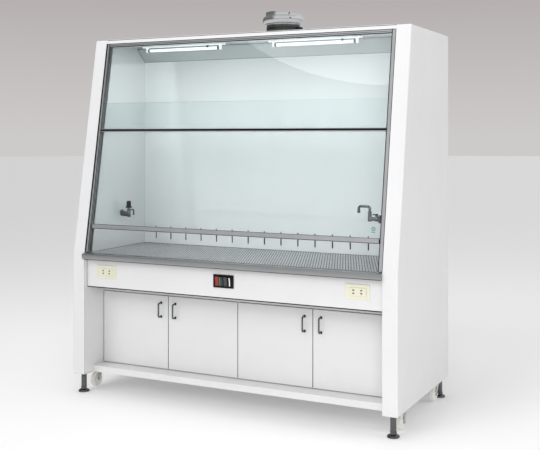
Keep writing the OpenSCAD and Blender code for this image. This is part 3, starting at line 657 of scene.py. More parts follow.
GLASS, tree, shade = shader("float_glass")
shade.inputs["Transmission Weight"].default_value = 1.0
shade.inputs["IOR"].default_value = 1.5
shade.inputs["Specular IOR Level"].default_value = 0.3
handled = use(tree, hand_group, {"Dust height": 0.1})
tinted = tint(tree, handled["Smear"], (0.925, 0.958, 0.958), (0.905, 0.942, 0.942))
tree.links.new(tinted, shade.inputs["Base Color"])
tree.links.new(spread(tree, handled["Smear"], 0, 1, 0.0, 0.02), shade.inputs["Roughness"])
clear = node(tree, "BsdfTransparent", {"Color": (0.95, 0.97, 0.97, 1)})
ray = node(tree, "LightPath")
through = node(tree, "MixShader", {0: ray.outputs["Is Shadow Ray"], 1: shade.outputs[0],
                                   2: clear.outputs[0]})
tree.links.new(through.outputs[0], tree.nodes["Material Output"].inputs["Surface"])
print("cast iron, board, rope and glass")

# %% [markdown]
# Some parts of the CAD model already have their final shape, such as the frame inside the columns and
# the counterweights. They keep it and only get a better finish.

# %% New finishes on CAD parts
def refinish(nodes, finish):
    """Gives CAD nodes whose shape is already right a better finish."""
    for name in nodes:
        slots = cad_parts[name].data.materials
        slots.clear()
        slots.append(finish)


refinish(["bench_frame", "pulley_brackets", "sash_hangers"], ZINC)
refinish(["worktop_core"], BOARD)
refinish(["left_pulley", "right_pulley"], BLACK)
refinish(["left_weight", "right_weight"], IRON)
refinish(["door_pivots"], PIN)
print("refinished CAD nodes: frame, brackets, hangers, board, pulleys, weights, pins")

# %% [markdown]
# ## Side columns
# Each column is a folded steel box, open towards the work chamber where a lining board closes it.
# The side view is drawn once as a closed outline with the kink at the bench, carried from the
# column's inner to its outer face, and closed there. Rounding comes before the sheet gets its
# thickness, as a press brake would bend it. Feet and casters come out through rubber grommets.

# %% Column outline and folds
WALL, FOLD = 2.0, 6.0  # thickness of the column sheet and radius of its folds


def outline():
    """Side view of a column, as (y, z) corners from the front foot round to the kink."""
    lean_y = FRONT + (ROOF - KINK) * math.tan(LEAN)
    return np.array([[FRONT, GROUND], [BACK, GROUND], [BACK, ROOF], [lean_y, ROOF], [FRONT, KINK]])


def folded(made, wall, edge, steps=4, angle=35):
    """Rounds the folds of an open sheet first, then gives it its thickness."""
    bend = made.modifiers.new("fold", "BEVEL")
    bend.width, bend.segments, bend.limit_method = edge * MM, steps, "ANGLE"
    bend.angle_limit = math.radians(angle)
    thick = made.modifiers.new("wall", "SOLIDIFY")
    thick.thickness, thick.offset, thick.use_even_offset = wall * MM, -1, True
    flat = made.modifiers.new("flat", "WEIGHTED_NORMAL")
    flat.keep_sharp, flat.weight = False, 90


print("outline", outline().round(1).tolist())

# %% Columns, their inner sheets and floor grommets
foot_hole, caster_hole = 14.4, 8.4
foot_ys = (FRONT + 45, BACK - 38)
caster_ys = (FRONT + 175, BACK - 122)
foot_x = (INNER + HALF) / 2
for side, word in ((-1, "left"), (1, "right")):
    ring = outline()
    ends = side * np.array([[INNER], [HALF]])
    shape, faces = skin(lay(ring[None, :, 0], ring[None, :, 1], ends, "x"), caps=False)
    faces += [[5, 6, 7, 8, 9]]  # the outer face
    made = piece(word + "_column", [(shape, faces)], WHITE, stands_for=word + "_casing")
    folded(made, WALL, FOLD)
    low = block((FRONT + 2.2, GROUND + 2.2, side * INNER), (BACK - 2.2, BENCH - 4.6, side * (INNER + 2)))
    piece(word + "_inner_sheet", [low], WHITE, edge=0.5)
    rings = [turned([(r, 0), (r + 3.6, 0), (r + 4.6, -0.8), (r + 4.6, -2), (r, -2)],
                    (side * foot_x, y, GROUND), n=40, ring=True)
             for r, ys in ((foot_hole, foot_ys), (caster_hole, caster_ys)) for y in ys]
    piece(word + "_column_grommets", rings, BLACK)
print("columns", INNER, "to", HALF)

# %% [markdown]
# ## Lining of the work chamber
# Glossy white boards line the chamber. The side boards follow the leaning front and carry a long slit
# for the arms that lift the sash. The back board has a row of upright slots at its foot, where the air
# is drawn off, and a sloping board closes the plenum at the top. A board with openings is a grid whose
# window cells are left out before it gets its thickness. A black screen behind the slots is painted
# shade that stands in for the dark of the plenum, and thin lines of sealant close the joints of the
# sloping board. The sloping board and the ceiling are a darker copy of the liner, as painted shade.

# %% Side boards
NEAR, FAR = 60, 100  # u where a board's front strip ends, and at its back edge


def side_board(u, z):
    """Depth y of a board point. Up to NEAR, u is the distance behind the leaning front, and from there
    y goes evenly to the column's back at FAR: y = near (1 - share) + back share."""
    front = FRONT + (z - KINK) * math.tan(LEAN)
    share = np.clip((u - NEAR) / (FAR - NEAR), 0, 1)
    return (front + np.minimum(u, NEAR)) * (1 - share) + (BACK - 2) * share


arm_d, arm_top, slit_d = 38, 480, (34, 42)  # sash arm: depth, highest place up the slope, and its slit
slit = [slit_d[0] / math.cos(LEAN), slit_d[1] / math.cos(LEAN), BENCH - 4,
        KINK + arm_top * math.cos(LEAN) - arm_d * math.sin(LEAN)]
for side, word in ((-1, "left"), (1, "right")):
    board = sheet([2.1, NEAR, FAR], [BENCH - 4, ROOF - 2.2], [slit],
                  lambda u, z: lay(side_board(u, z), z, side * INNER, "x"), flip=side > 0)
    piece(word + "_wall_board", [board], LINER, stands_for=word + "_liner", wall=4,
          edge=0.5, closed=False)
print("slit from", round(slit[2], 1), "to", round(slit[3], 1))


# %% Slotted baffle
def upright(u, v, y):
    """A sheet that stands across the hood at depth y: u to the right, v up."""
    return np.stack([u, np.full_like(u, y), v], -1)


baf_lo, baf_hi = corners("rear_baffle")
slot_count, slot_pitch, slot_half, slot_z = 16, 100, 3.5, (764, 836)
slot_x = (np.arange(slot_count) - (slot_count - 1) / 2) * slot_pitch
slots = [[x - slot_half, x + slot_half, *slot_z] for x in slot_x]
back = sheet([-INNER, INNER], [BENCH, baf_hi[2]], slots, lambda u, v: upright(u, v, baf_lo[1]))
piece("slotted_baffle", [back], LINER, stands_for="rear_baffle", wall=4, edge=0.7,
      closed=False)
# A black screen behind the slots: painted shade for the dark plenum.
plenum_shadow_screen = block((baf_lo[1] + 14, slot_z[0] - 12, -INNER + 4), (baf_lo[1] + 16, slot_z[1] + 20, INNER - 4))
piece("slot_shadow_screen", [plenum_shadow_screen], BLACK)
print("slots", len(slots))

# %% Sloping board, ceiling and their joints
tilt_lo, tilt_hi = corners("top_baffle")
ceil_lo, ceil_hi = corners("ceiling_liner")
tilted = bar([[baf_lo[1], tilt_lo[2]], [baf_lo[1] + 4, tilt_lo[2]], [tilt_lo[1] + 4, tilt_hi[2]],
              [tilt_lo[1], tilt_hi[2]]],
             -INNER, INNER)
# The sloping board and the ceiling wear the darker copy of the liner: painted shade.
piece("sloping_baffle", [tilted], SHADED, stands_for="top_baffle", edge=0.6)
piece("ceiling_board", [block((ceil_lo[1], ceil_lo[2], -INNER), (ceil_hi[1], ceil_hi[2], INNER))], SHADED,
      stands_for="ceiling_liner", edge=0.6)
joints = [block((baf_lo[1] - 0.7, tilt_lo[2] - 1.6, -INNER + 1),
                (baf_lo[1] + 0.3, tilt_lo[2] + 1.6, INNER - 1)),
          block((tilt_lo[1] - 2, tilt_hi[2] - 2.4, -INNER + 1),
                (tilt_lo[1] + 1, tilt_hi[2] - 0.1, INNER - 1))]
incline = np.array([[baf_lo[1] - 0.9, tilt_lo[2]], [baf_lo[1] - 0.9, tilt_lo[2] + 3],
                    [tilt_lo[1] - 0.9, tilt_hi[2]], [tilt_lo[1] - 0.9, tilt_hi[2] - 3]])
joints += [bar(incline, s * (INNER - 0.2), s * (INNER - 1.4)) for s in (-1, 1)]
piece("chamber_joints", joints, SEALANT_AND_SHADE)
print("ceiling at", ceil_lo[2])

# %% [markdown]
# ## Roof, header and back
# The roof is one sheet with a round hole for the exhaust collar: rays from the hole's edge run out to
# the sheet's border, which gives a clean hole without cutting. The back is closed by two removable
# covers, held by rows of pan-head screws, because the counterweights and the plenum need access. A
# dark rim under each cover is painted shade for the shadow gap at its edge.

# %% Roof and header strip
collar_hole = 92.5
duct_lo, duct_hi = corners("duct_spigot")
duct_x, duct_y = (duct_lo[:2] + duct_hi[:2]) / 2
roof_lo, roof_hi = corners("roof_panel")
roof_corners = np.array([[x, y] for x in (roof_lo[0], roof_hi[0]) for y in (roof_lo[1], roof_hi[1])])
corner_x, corner_y = (roof_corners - (duct_x, duct_y)).T
rays = np.unique(np.r_[np.linspace(-np.pi, np.pi, 72, endpoint=False), np.arctan2(corner_y, corner_x)])
ray_x, ray_y = np.cos(rays), np.sin(rays)
far = np.minimum(np.where(ray_x > 0, roof_hi[0] - duct_x, duct_x - roof_lo[0]) / np.maximum(abs(ray_x), 1e-9),
                 np.where(ray_y > 0, roof_hi[1] - duct_y, duct_y - roof_lo[1]) / np.maximum(abs(ray_y), 1e-9))
levels = np.stack([np.stack([duct_x + d * ray_x, duct_y + d * ray_y, ROOF + 0 * d], -1)
                   for d in (collar_hole + 0 * far, far)])
piece("roof_sheet", [skin(levels[::-1], caps=False)], WHITE, stands_for="roof_panel",
      wall=2, edge=0.4, closed=False)
head_s = (SLOPE - 19.6, SLOPE - 2.6)  # lower and upper edge of the strip, up the slope
piece("header_strip", [block((0, head_s[0], -INNER), (2, head_s[1], INNER), "slope_x")], WHITE,
      stands_for="header_panel", edge=0.6)
print("roof rays", len(rays))


# %% Screw heads
def screw_head(r, h, n=16):
    """A domed screw head standing on Z: a rim 0.35 h high, then (r cos a, 0.35 h + 0.65 h sin a)."""
    a = np.radians([0, 30, 60, 90])
    return turned(np.c_[np.r_[0, r, r * np.cos(a)], np.r_[0, 0, h * 0.35 + h * 0.65 * np.sin(a)]], (0, 0, 0),
                  n=n)


def facing(part, way):
    """Turns a small part that stands on Z so that it stands on -Y, +Y or +-X instead."""
    x, y, z = part[0].T
    turns = {"-y": (x, -z, y), "+y": (x, z, -y), "+x": (z, y, -x), "-x": (-z, y, x)}
    return np.stack(turns[way], -1), part[1]


print("screw heads ready")

# %% Back sheet, covers and screws
rear_lo, rear_hi = corners("rear_panel")
rear_y = rear_lo[1]
cover_x, cover_z, screw_x, lap = 790, ((150, 700), (760, 1830)), 770, 2.2
back_sheet = block((rear_y - 0.6, rear_lo[2], -INNER), (rear_y + 0.4, rear_hi[2], INNER))
covers = [block((rear_y + 0.3, z0, -cover_x), (rear_y + 1.3, z1, cover_x)) for z0, z1 in cover_z]
piece("back_sheet", [back_sheet], WHITE, stands_for="rear_panel", edge=0.3)
piece("back_covers", covers, WHITE, edge=0.4)
# A dark rim under each cover: painted shade for the shadow gap at its edge.
under = [block((rear_y + 0.3, z0 - lap, -cover_x - lap), (rear_y + 0.7, z1 + lap, cover_x + lap))
         for z0, z1 in cover_z]
piece("cover_shadow_gap_strips", under, SEALANT_AND_SHADE)
rows = [(x, z) for z in (165, 685, 775, 1815) for x in np.linspace(-screw_x, screw_x, 9)]
rows += [(x, z) for x in (-screw_x, screw_x) for z in (338, 512, 1035, 1295, 1555)]
heads = np.array([(x, rear_y + 1.2, z) for x, z in rows])
piece("back_screws", [repeat(facing(screw_head(4, 0.8, 12), "+y"), heads)], ZINC)
print("back screws", len(heads))

# %% [markdown]
# ## Worktop
# The bench is a brushed stainless skin folded round a board, with a smooth nose that stands out in
# front of the columns. Inside the chamber its surface is a dark etched field set with low, bright
# diamond studs in staggered rows, and one row of short dashes runs along the front. Each stud is a
# frustum of five faces, four sides and a top, so the thousands of them stay light. A bump map would
# be lighter still, but it would be lost on a bare mesh.

# %% Worktop skin and field
nose_r, lip_r = 6, 2  # rounding over and under the nose
turn_up = np.radians(np.linspace(180, 90, 7))
turn_down = np.radians(np.linspace(270, 180, 4))
nose = np.r_[np.c_[NOSE + lip_r + lip_r * np.cos(turn_down), top_lo[2] + lip_r + lip_r * np.sin(turn_down)],
             np.c_[NOSE + nose_r + nose_r * np.cos(turn_up), BENCH - nose_r + nose_r * np.sin(turn_up)],
             [[BACK - 2, BENCH], [BACK - 2, top_lo[2]]]]
piece("worktop_skin", [bar(nose, -INNER + 0.2, INNER - 0.2)], STEEL, stands_for="worktop",
      angle=40)
field = block((FRONT + 4, BENCH - 0.5, -INNER + 3), (baf_lo[1] - 2, BENCH + 0.12, INNER - 3))
piece("worktop_field", [field], FIELD)
print("nose at", NOSE, "bench at", BENCH)


# %% Studs and dashes
def frustum(corner_signs, foot, crown, low, high):
    """A low stud: four corners times the half sizes of its foot and crown, closed on top only."""
    rings = [np.c_[corner_signs * half, [height] * 4] for half, height in ((foot, low), (crown, high))]
    shape, faces = skin(np.stack(rings), caps=False)
    return shape, faces + [[4, 5, 6, 7]]


pitch, row_pitch, sunk, tall = 14.0, 17.0, -0.2, 0.7
square = np.array([[-1, -1], [1, -1], [1, 1], [-1, 1]])
diamond = np.array([[-1, 0], [0, -1], [1, 0], [0, 1]])
stud = frustum(diamond, (5.9, 14.2), (4.9, 11.8), sunk, tall)
grid_x = np.arange(-58, 59) * pitch
rows_y = np.arange(FRONT + 34, baf_lo[1] - 18, row_pitch)
shift = np.where(np.arange(len(rows_y)) % 2, pitch / 2, 0)
spots = np.broadcast_arrays(grid_x[None, :] + shift[:, None], rows_y[:, None], BENCH)
spots = np.stack(spots, -1).reshape(-1, 3)
spots = spots[abs(spots[:, 0]) < INNER - 9]
piece("worktop_studs", [repeat(stud, spots)], STUD, closed=False, weld=False, angle=20)
dash = frustum(square, (4.4, 3.2), (3.8, 2.6), sunk, tall)
dashes = np.c_[grid_x, np.full(len(grid_x), FRONT + 13), np.full(len(grid_x), BENCH)]
piece("worktop_dashes", [repeat(dash, dashes)], STUD, closed=False, weld=False, angle=20)
print("studs", len(spots), "dashes", len(dashes))

# %% [markdown]
# ## Control panel
# Under the nose runs a panel folded back at top and bottom, with cut-outs for two twin sockets and a
# row of four rocker switches. Black strips in its joints with the worktop, the columns and the rail
# below are painted shade for the shadow gaps there. The socket plates are picture-frame mouldings, so
# they are a rounded rectangle carried through a stepped cross-section and joined to its own start.
# Their slots are open cells of a sheet, with black shutters just behind.

# %% Panel and its painted shadow strips
pan_lo, pan_hi = corners("control_panel")
out_lo, out_hi = corners("outlets")
panel_y, control_z = pan_lo[1], (out_lo[2] + out_hi[2]) / 2
outlet_x = out_hi[0] - 60
fold = np.array([[pan_hi[1], pan_lo[2]], [panel_y, pan_lo[2]], [panel_y, pan_hi[2]], [pan_hi[1], pan_hi[2]]])
run = np.r_[0, np.cumsum(np.linalg.norm(np.diff(fold, axis=0), axis=1))]
z_run = run[1] - pan_lo[2]
holes = [[x - 48, x + 48, control_z - 24 + z_run, control_z + 24 + z_run] for x in (-outlet_x, outlet_x)]
holes += [[-50, 50, control_z - 27 + z_run, control_z + 27 + z_run]]


def panel_point(u, v):
    """Across at u, and v along the fold from the lower flange's back edge."""
    return np.stack([u, np.interp(v, run, fold[:, 0]), np.interp(v, run, fold[:, 1])], -1)


panel = sheet([-INNER + 2, INNER - 2], run, holes, panel_point)
made = piece("control_panel_sheet", [panel], WHITE, stands_for="control_panel",
             closed=False)
folded(made, 2.0, 2.5, steps=3)
# Black strips under the nose, under the panel and beside the columns: painted shade for the shadow gaps.
shadow_gap_strips = [block((NOSE + 5, top_lo[2] - 3, -INNER + 3), (panel_y + 1, top_lo[2] - 0.1, INNER - 3)),
           block((panel_y, pan_lo[2] - 4, -INNER + 3), (panel_y + 3, pan_lo[2] - 0.05, INNER - 3))]
shadow_gap_strips += [block((panel_y + 1, pan_lo[2] - 2, s * INNER - s * 0.2),
                  (panel_y + 3, top_lo[2] - 2, s * INNER - s * 3))
            for s in (-1, 1)]
piece("panel_shadow_gap_strips", shadow_gap_strips, BLACK)
print("panel windows", len(holes))


# %% Sockets
def frame_ring(x, z, steps):
    """Rounded rectangles (width, height, corner, y) joined in turn and back to the first."""
    loops = [np.c_[oval(w, h, r), np.full(20, y)] for w, h, r, y in steps]
    loops = np.stack(loops)[:, :, [0, 2, 1]] + (x, 0, z)
    return skin(loops, ring=True)


plate_steps = [(120, 70, 5, panel_y), (120, 70, 5, panel_y - 2.4), (118.4, 68.4, 4.4, panel_y - 3.6),
               (116, 66, 3.5, panel_y - 4), (88, 40, 2.2, panel_y - 4), (86.4, 38.4, 1.8, panel_y - 3.2),
               (85, 37, 1.5, panel_y - 1), (85, 37, 1.5, panel_y)]
for side, word in ((-1, "left"), (1, "right")):
    x = side * outlet_x
    piece(word + "_socket_plate", [frame_ring(x, control_z, plate_steps)], IVORY,
          stands_for="outlets", angle=50)
    cuts = [[x + a - 4.8, x + a + 4.8, control_z + b - 2.7, control_z + b + 2.7] for a in (-19.25, 19.25)
            for b in (-7, 7)]
    face = sheet([x - 42.6, x - 0.4, x + 0.4, x + 42.6], [control_z - 18.6, control_z + 18.6], cuts,
                 lambda u, v: upright(u, v, panel_y - 5))
    piece(word + "_socket_insert", [face], IVORY, wall=3, edge=0.5, closed=False)
    shutters = [block((panel_y - 4.8, v0 + 0.3, u0 + 0.3), (panel_y - 1.8, v1 - 0.3, u1 - 0.3))
                for u0, u1, v0, v1 in cuts]
    body_block = block((panel_y - 1.9, control_z - 17.5, x - 41.5),
                       (panel_y + 28, control_z + 17.5, x + 41.5))
    piece(word + "_socket_body", [body_block] + shutters, BLACK)
    heads = np.array([[x - 52, panel_y - 4, control_z], [x + 52, panel_y - 4, control_z]])
    piece(word + "_socket_screws", [repeat(facing(screw_head(3, 0.8), "-y"), heads)], IVORY)
print("sockets at", -outlet_x, outlet_x)

# %% Switch frame
rocker_pitch, gap_half = 23.5, 10.75
gaps = [[p - gap_half, p + gap_half, control_z - 24, control_z + 24]
        for p in (np.arange(4) - 1.5) * rocker_pitch]
flange = sheet([-56, 56], [control_z - 32, control_z + 32], gaps, lambda u, v: upright(u, v, panel_y - 6))
piece("switch_frame", [flange], BLACK, stands_for="switch_bezel", wall=6, edge=1.2,
      steps=3, closed=False)
housing = sheet([-49, 49], [control_z - 26, control_z + 26], gaps, lambda u, v: upright(u, v, panel_y))
piece("switch_housing", [housing], BLACK, wall=26, edge=0.4, closed=False)
print("switch gaps", len(gaps))

# %% [markdown]
# Each rocker is a moulding with a shallow V face, and it rests with its lower half pressed in. Its
# side view is turned by that tilt and carried across its width. One has a green mark along its left
# edge and one a pale bar, as thin inlays that follow the V.

# %% Rockers
rock = math.radians(7)


def rocker_points(rows):
    """Side-view rows (y, z) about the rocker's axis, turned by its rest tilt and set in the panel."""
    y, z = np.array(rows, float).T
    return np.c_[panel_y + y * math.cos(rock) - z * math.sin(rock),
                 control_z + y * math.sin(rock) + z * math.cos(rock)]


body_rows = [[-6, 0], [-8.5, 22.5], [6, 21], [8, 0], [6, -21], [-8.5, -22.5]]
v_strip = [[-6.25, 0], [-8.6, 20.5], [-8.1, 20.5], [-5.7, 0], [-8.1, -20.5], [-8.6, -20.5]]
rocker_finishes = [(RED, "rocker_red"), (GREEN_BLACK, "rocker_green"), (SLATE, "rocker_grey"),
                   (BLACK, "rocker_marked")]
for i, (finish, slot_name) in enumerate(rocker_finishes):
    left = (i - 1.5) * rocker_pitch - 10
    body_name = f"rocker_{i + 1}"
    piece(f"switch_rocker_{i + 1}", [bar(rocker_points(body_rows), left, left + 20)], finish, body=body_name,
          stands_for=body_name, edge=1.1, steps=3, angle=25)
    if i == 1:
        piece("rocker_green_mark", [bar(rocker_points(v_strip), left + 1.4, left + 5.4)], GREEN,
              body=body_name)
    if i == 3:
        piece("rocker_pale_bar", [bar(rocker_points(v_strip), left + 7.4, left + 13.2)], MARK, body=body_name)
print("rockers", len(rocker_finishes))

# %% [markdown]
# ## Sash
# The sash frame is extruded aluminium: a channel with three lips at each side makes one groove for
# the fixed pane and one for the sliding pane behind it. An extrusion is its own section carried
# straight, so the sections are drawn in the frame's plane and carried up or across the slope. Black
# glazing strips sit between metal and glass. Thin black strips on the frame's outer and inner edges
# and across its header and bars are painted shade for the recess and grooves, wider at the left edge,
# where more of the recess shows from the camera.

# %% Sash frame
s_top = head_s[0]
edge_x = INNER - 22
lips = np.array([[0, 2], [21.9, 2], [21.9, 34], [0, 34], [0, 31.5], [19, 31.5], [19, 16], [0, 16], [0, 14],
                 [19, 14], [19, 4.5], [0, 4.5]], float)
top_section = [[2, s_top - 19], [6.2, s_top - 19], [6.2, s_top - 6], [11.8, s_top - 6], [11.8, s_top - 19],
               [34, s_top - 19], [34, s_top], [2, s_top]]
mid_section = [[2, 652], [16, 652], [16, 668], [11.8, 668], [11.8, 658], [6.2, 658], [6.2, 668], [2, 668]]
channels = [bar(np.c_[side * (edge_x + lips[:, 0]), lips[:, 1]], 12.2, s_top, "slope") for side in (-1, 1)]
bars = [bar(s, -edge_x, edge_x, "slope_x") for s in (top_section, mid_section)]
piece("sash_frame_extrusions", channels + bars, ALLOY, stands_for="sash_frame", edge=0.5,
      steps=2)
print("slope", round(SLOPE, 1), "frame to", round(s_top, 1))

# %% Glazing strips and painted shadow strips
MID_BAR = 668  # upper edge of the middle bar, up the slope
strips = []
for side in (-1, 1):
    for d0, d1, s0 in ((4.6, 6.4, MID_BAR), (11.6, 13.9, MID_BAR), (16.1, 20.4, 12.6)):
        beside = oblong(side * (edge_x + 0.5), side * (edge_x + 3), d0, d1)
        strips.append(bar(beside, s0, s_top - 0.4, "slope"))
# Black strips along the column edges, wider on the left, and along the frame's inner edges: painted shade for
# the recess.
for side in (-1, 1):
    for out, broad in ((INNER, 8 if side < 0 else 3.4), (edge_x + 3.6, 3.4)):
        strips.append(bar(oblong(side * (out - broad), side * out, 0.9, 2.1), 12.4, s_top + 0.4, "slope"))
# Black lines across the header and bars: painted shade for their grooves and edges.
for d0, d1, s0, s1, half in ((1, 2.1, s_top - 2.5, s_top + 0.6, INNER - 7),
                             (1.2, 4, s_top - 19.6, s_top - 16.5, edge_x),
                             (1.2, 2.1, s_top - 11.5, s_top - 9.5, edge_x), (1.2, 2.1, 655, 665, edge_x)):
    strips.append(bar(oblong(d0, d1, s0, s1), -half, half, "slope_x"))
piece("glazing_and_shadow_strips", strips, BLACK, edge=0.3, steps=1)
print("strips", len(strips))

# %% Sash rail
rail_s, rail_half = 137.0, INNER - 25  # its lower edge up the slope when shut, and half its length
rail_section = [[4, rail_s], [30, rail_s], [30, rail_s + 24], [26.2, rail_s + 24], [26.2, rail_s + 8],
                [20.8, rail_s + 8], [20.8, rail_s + 24], [4, rail_s + 24]]
piece("sash_rail_extrusion", [bar(rail_section, -rail_half + 2, rail_half - 2, "slope_x")], ALLOY,
      body="sash", stands_for="sash_rail", edge=1.2, steps=3)
plugs = [block((4.6, rail_s + 0.6, side * (rail_half - 2)), (29.4, rail_s + 19, side * rail_half), "slope_x")
         for side in (-1, 1)]
wedge = [[20.9, rail_s + 20], [20.9, rail_s + 24.6], [19.6, rail_s + 24.6], [19.6, rail_s + 24.1]]
lines = [wedge] + [oblong(3.5, 4.1, a, a + 2) for a in (rail_s + 0.3, rail_s + 21.7)]
lines = [bar(section, -rail_half + 3, rail_half - 3, "slope_x") for section in lines]
piece("sash_rail_ends", plugs + lines, BLACK, body="sash", edge=0.3)
print("rail from", rail_s, "half length", rail_half)

# %% [markdown]
# Both panes are closed slabs with ground edges, because a lens of glass needs a far side to bend light
# back. The fixed pane is cemented in the frame, and the sliding one rides on the sash body, with a
# plain green badge on its front: a ring, a dot and a bar.

# %% Panes
PANE, GROUND_EDGE = 5, 0.8  # thickness of the glass, and its chamfer


def pane(name, d, s0, s1, body, node_name):
    """A pane across the hood, d inward and from s0 to s1 up the slope, with its edges ground."""
    c, back_d = GROUND_EDGE, d + PANE
    section = [[d, s0 + c], [d + c, s0], [back_d - c, s0], [back_d, s0 + c], [back_d, s1 - c],
               [back_d - c, s1], [d + c, s1], [d, s1 - c]]
    return piece(name, [bar(section, -INNER + 11, INNER - 11, "slope_x")], GLASS, body=body,
                 stands_for=node_name, angle=20)


pane("fixed_pane", 6.5, 658.2, s_top - 6.2, "cabinet", "upper_glass")
pane("sliding_pane", 21, rail_s + 8.2, rail_s + 673, "sash", "sash_glass")
print("panes from", 658.2, "and", rail_s + 8.2)

# %% Badge on the sliding pane
badge_x, badge_s, badge_d = INNER - 62, rail_s + 66, (20.98, 20.7)
around = np.linspace(0, 2 * np.pi, 24, endpoint=False)


def rounds(rows):
    """Circles of (radius, depth) rows about the badge's middle, in the plane of the pane."""
    return np.stack([lean(badge_x + r * np.cos(around), d, badge_s + r * np.sin(around)) for r, d in rows])


near_d, far_d = badge_d
ring = skin(rounds([(6.5, near_d), (10, near_d), (10, far_d), (6.5, far_d)]), ring=True)
dot = skin(rounds([(3.2, near_d), (3.2, far_d)]))
under = [[near_d, badge_s - 17], [near_d, badge_s - 14], [far_d, badge_s - 14], [far_d, badge_s - 17]]
piece("sash_badge", [ring, dot, bar(under, badge_x - 9, badge_x + 9, "slope_x")], GREEN, body="sash")
print("badge at", badge_x, badge_s)

# %% [markdown]
# ## Ropes of the sash
# Inside each column a wire rope runs from the sash arm up to a pulley, over it, and down to a
# counterweight. A run of rope grows shorter on one side and longer on the other; here each run is a
# fixed piece in the shut pose, given to no body.

# %% Ropes
rope_x, rope_d, rope_r, groove = INNER + 21, 38, 1.5, 35
wheel_lo, wheel_hi = corners("right_pulley")
wheel_y, wheel_z = (wheel_lo[1] + wheel_hi[1]) / 2, (wheel_lo[2] + wheel_hi[2]) / 2
wheel_s = (wheel_z - KINK + (rope_d + groove) * math.sin(LEAN)) / math.cos(LEAN)
weight_top = corners("right_weight")[1][2]
hang_s = rail_s + 26  # where the rope is tied to the sash arm
for side, word in ((-1, "left"), (1, "right")):
    t = np.linspace(0, 1, 25)
    front_run = lean(side * rope_x, rope_d, hang_s + (wheel_s - hang_s) * t)
    made = piece(word + "_sash_rope", [wire(front_run, rope_r, 8)], ROPE, body=None,
                 stands_for="sash_ropes")
    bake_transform(made)
    a = np.pi - LEAN - (np.pi - LEAN) * np.linspace(0, 1, 19)
    over = np.stack([0 * a + side * rope_x, wheel_y + groove * np.cos(a), wheel_z + groove * np.sin(a)], -1)
    down = np.stack([0 * t + side * rope_x, 0 * t + wheel_y + groove,
                     wheel_z + (weight_top - 10 - wheel_z) * t], -1)
    made = piece(word + "_weight_rope", [wire(np.r_[over, down[1:]], rope_r, 8)], ROPE, body=None,
                 stands_for="weight_ropes")
    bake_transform(made)
print("ropes over pulleys at", round(wheel_y, 1), round(wheel_z, 1))

# %% [markdown]
# ## Lamps
# Two slim fluorescent battens hang under the ceiling board. A batten is a folded channel with sloping
# sides, closed by end caps. The tube has a metal cap and two pins at each end, and clips into a holder.

# %% Battens, holders, tubes
bat_lo, bat_hi = corners("lamp_battens")
tub_lo, tub_hi = corners("lamp_tubes")
lamp_y, tube_z = (bat_lo[1] + bat_hi[1]) / 2, (tub_lo[2] + tub_hi[2]) / 2
batten_top = bat_hi[2] - 0.05
batten_half, tube_half = 250, 219
for side, word in ((-1, "left"), (1, "right")):
    x = side * (bat_hi[0] - batten_half)
    section = [[lamp_y - 16, batten_top], [lamp_y - 16, batten_top - 8], [lamp_y - 11, batten_top - 21.9],
               [lamp_y + 11, batten_top - 21.9], [lamp_y + 16, batten_top - 8], [lamp_y + 16, batten_top]]
    caps = [bar(section, x + e * batten_half, x + e * (batten_half - 4)) for e in (-1, 1)]
    piece(word + "_batten", [bar(section, x - 245.6, x + 245.6)], ENAMEL,
          stands_for="lamp_battens", edge=1.2, angle=15)
    holder = [[lamp_y - 8.5, tube_z - 5], [lamp_y - 5, tube_z - 9], [lamp_y + 5, tube_z - 9],
              [lamp_y + 8.5, tube_z - 5], [lamp_y + 8.5, tube_z + 15.3], [lamp_y - 8.5, tube_z + 15.3]]
    holders = [bar(holder, x + e * 230, x + e * 221) for e in (-1, 1)]
    piece(word + "_lamp_ends", caps + holders, ENAMEL, edge=0.8)
    starter = turned([(0, 0), (7, 0), (7, -9), (5.6, -11), (0, -11)],
                     (x + 150, lamp_y - 2, batten_top - 21.6), n=24)
    piece(word + "_lamp_starter", [starter], BLACK)
    glass_end = tube_half - 9
    bulb = turned([(0, -glass_end), (7.2, -glass_end), (8, -glass_end + 2), (8, glass_end - 2),
                   (7.2, glass_end), (0, glass_end)], (x, lamp_y, tube_z), "x", 32)
    piece(word + "_tube", [bulb], OPAL, stands_for="lamp_tubes")
    ends = [turned([(0, e * (tube_half - 10.4)), (8.25, e * (tube_half - 10.4)),
                    (8.25, e * (tube_half - 1.5)), (6.5, e * tube_half), (0, e * tube_half)],
                   (x, lamp_y, tube_z), "x", 32) for e in (-1, 1)]
    piece(word + "_tube_caps", ends, DARK_STEEL)
    pins = [turned([(0, e * (tube_half - 2)), (1.2, e * (tube_half - 2)), (1.2, e * (tube_half + 8)),
                    (0, e * (tube_half + 9))], (x, lamp_y, tube_z + p), "x", 12) for e in (-1, 1)
            for p in (-3, 3)]
    piece(word + "_tube_pins", pins, PIN)
print("lamps at y", lamp_y, "tube z", tube_z)

# %% [markdown]
# ## Exhaust collar
# The collar is spun from thin stainless steel: a flange on the roof, a neck, a rolled bead that
# stiffens it, and a straight band that a duct slides over. A spun part is a profile turned round its
# axis, and the profile here is the whole wall, out and back, so the turned shape is closed. A dark
# sleeve covers the neck, rivets hold the seam on two sides, and a band clamp with a screw grips the
# neck.

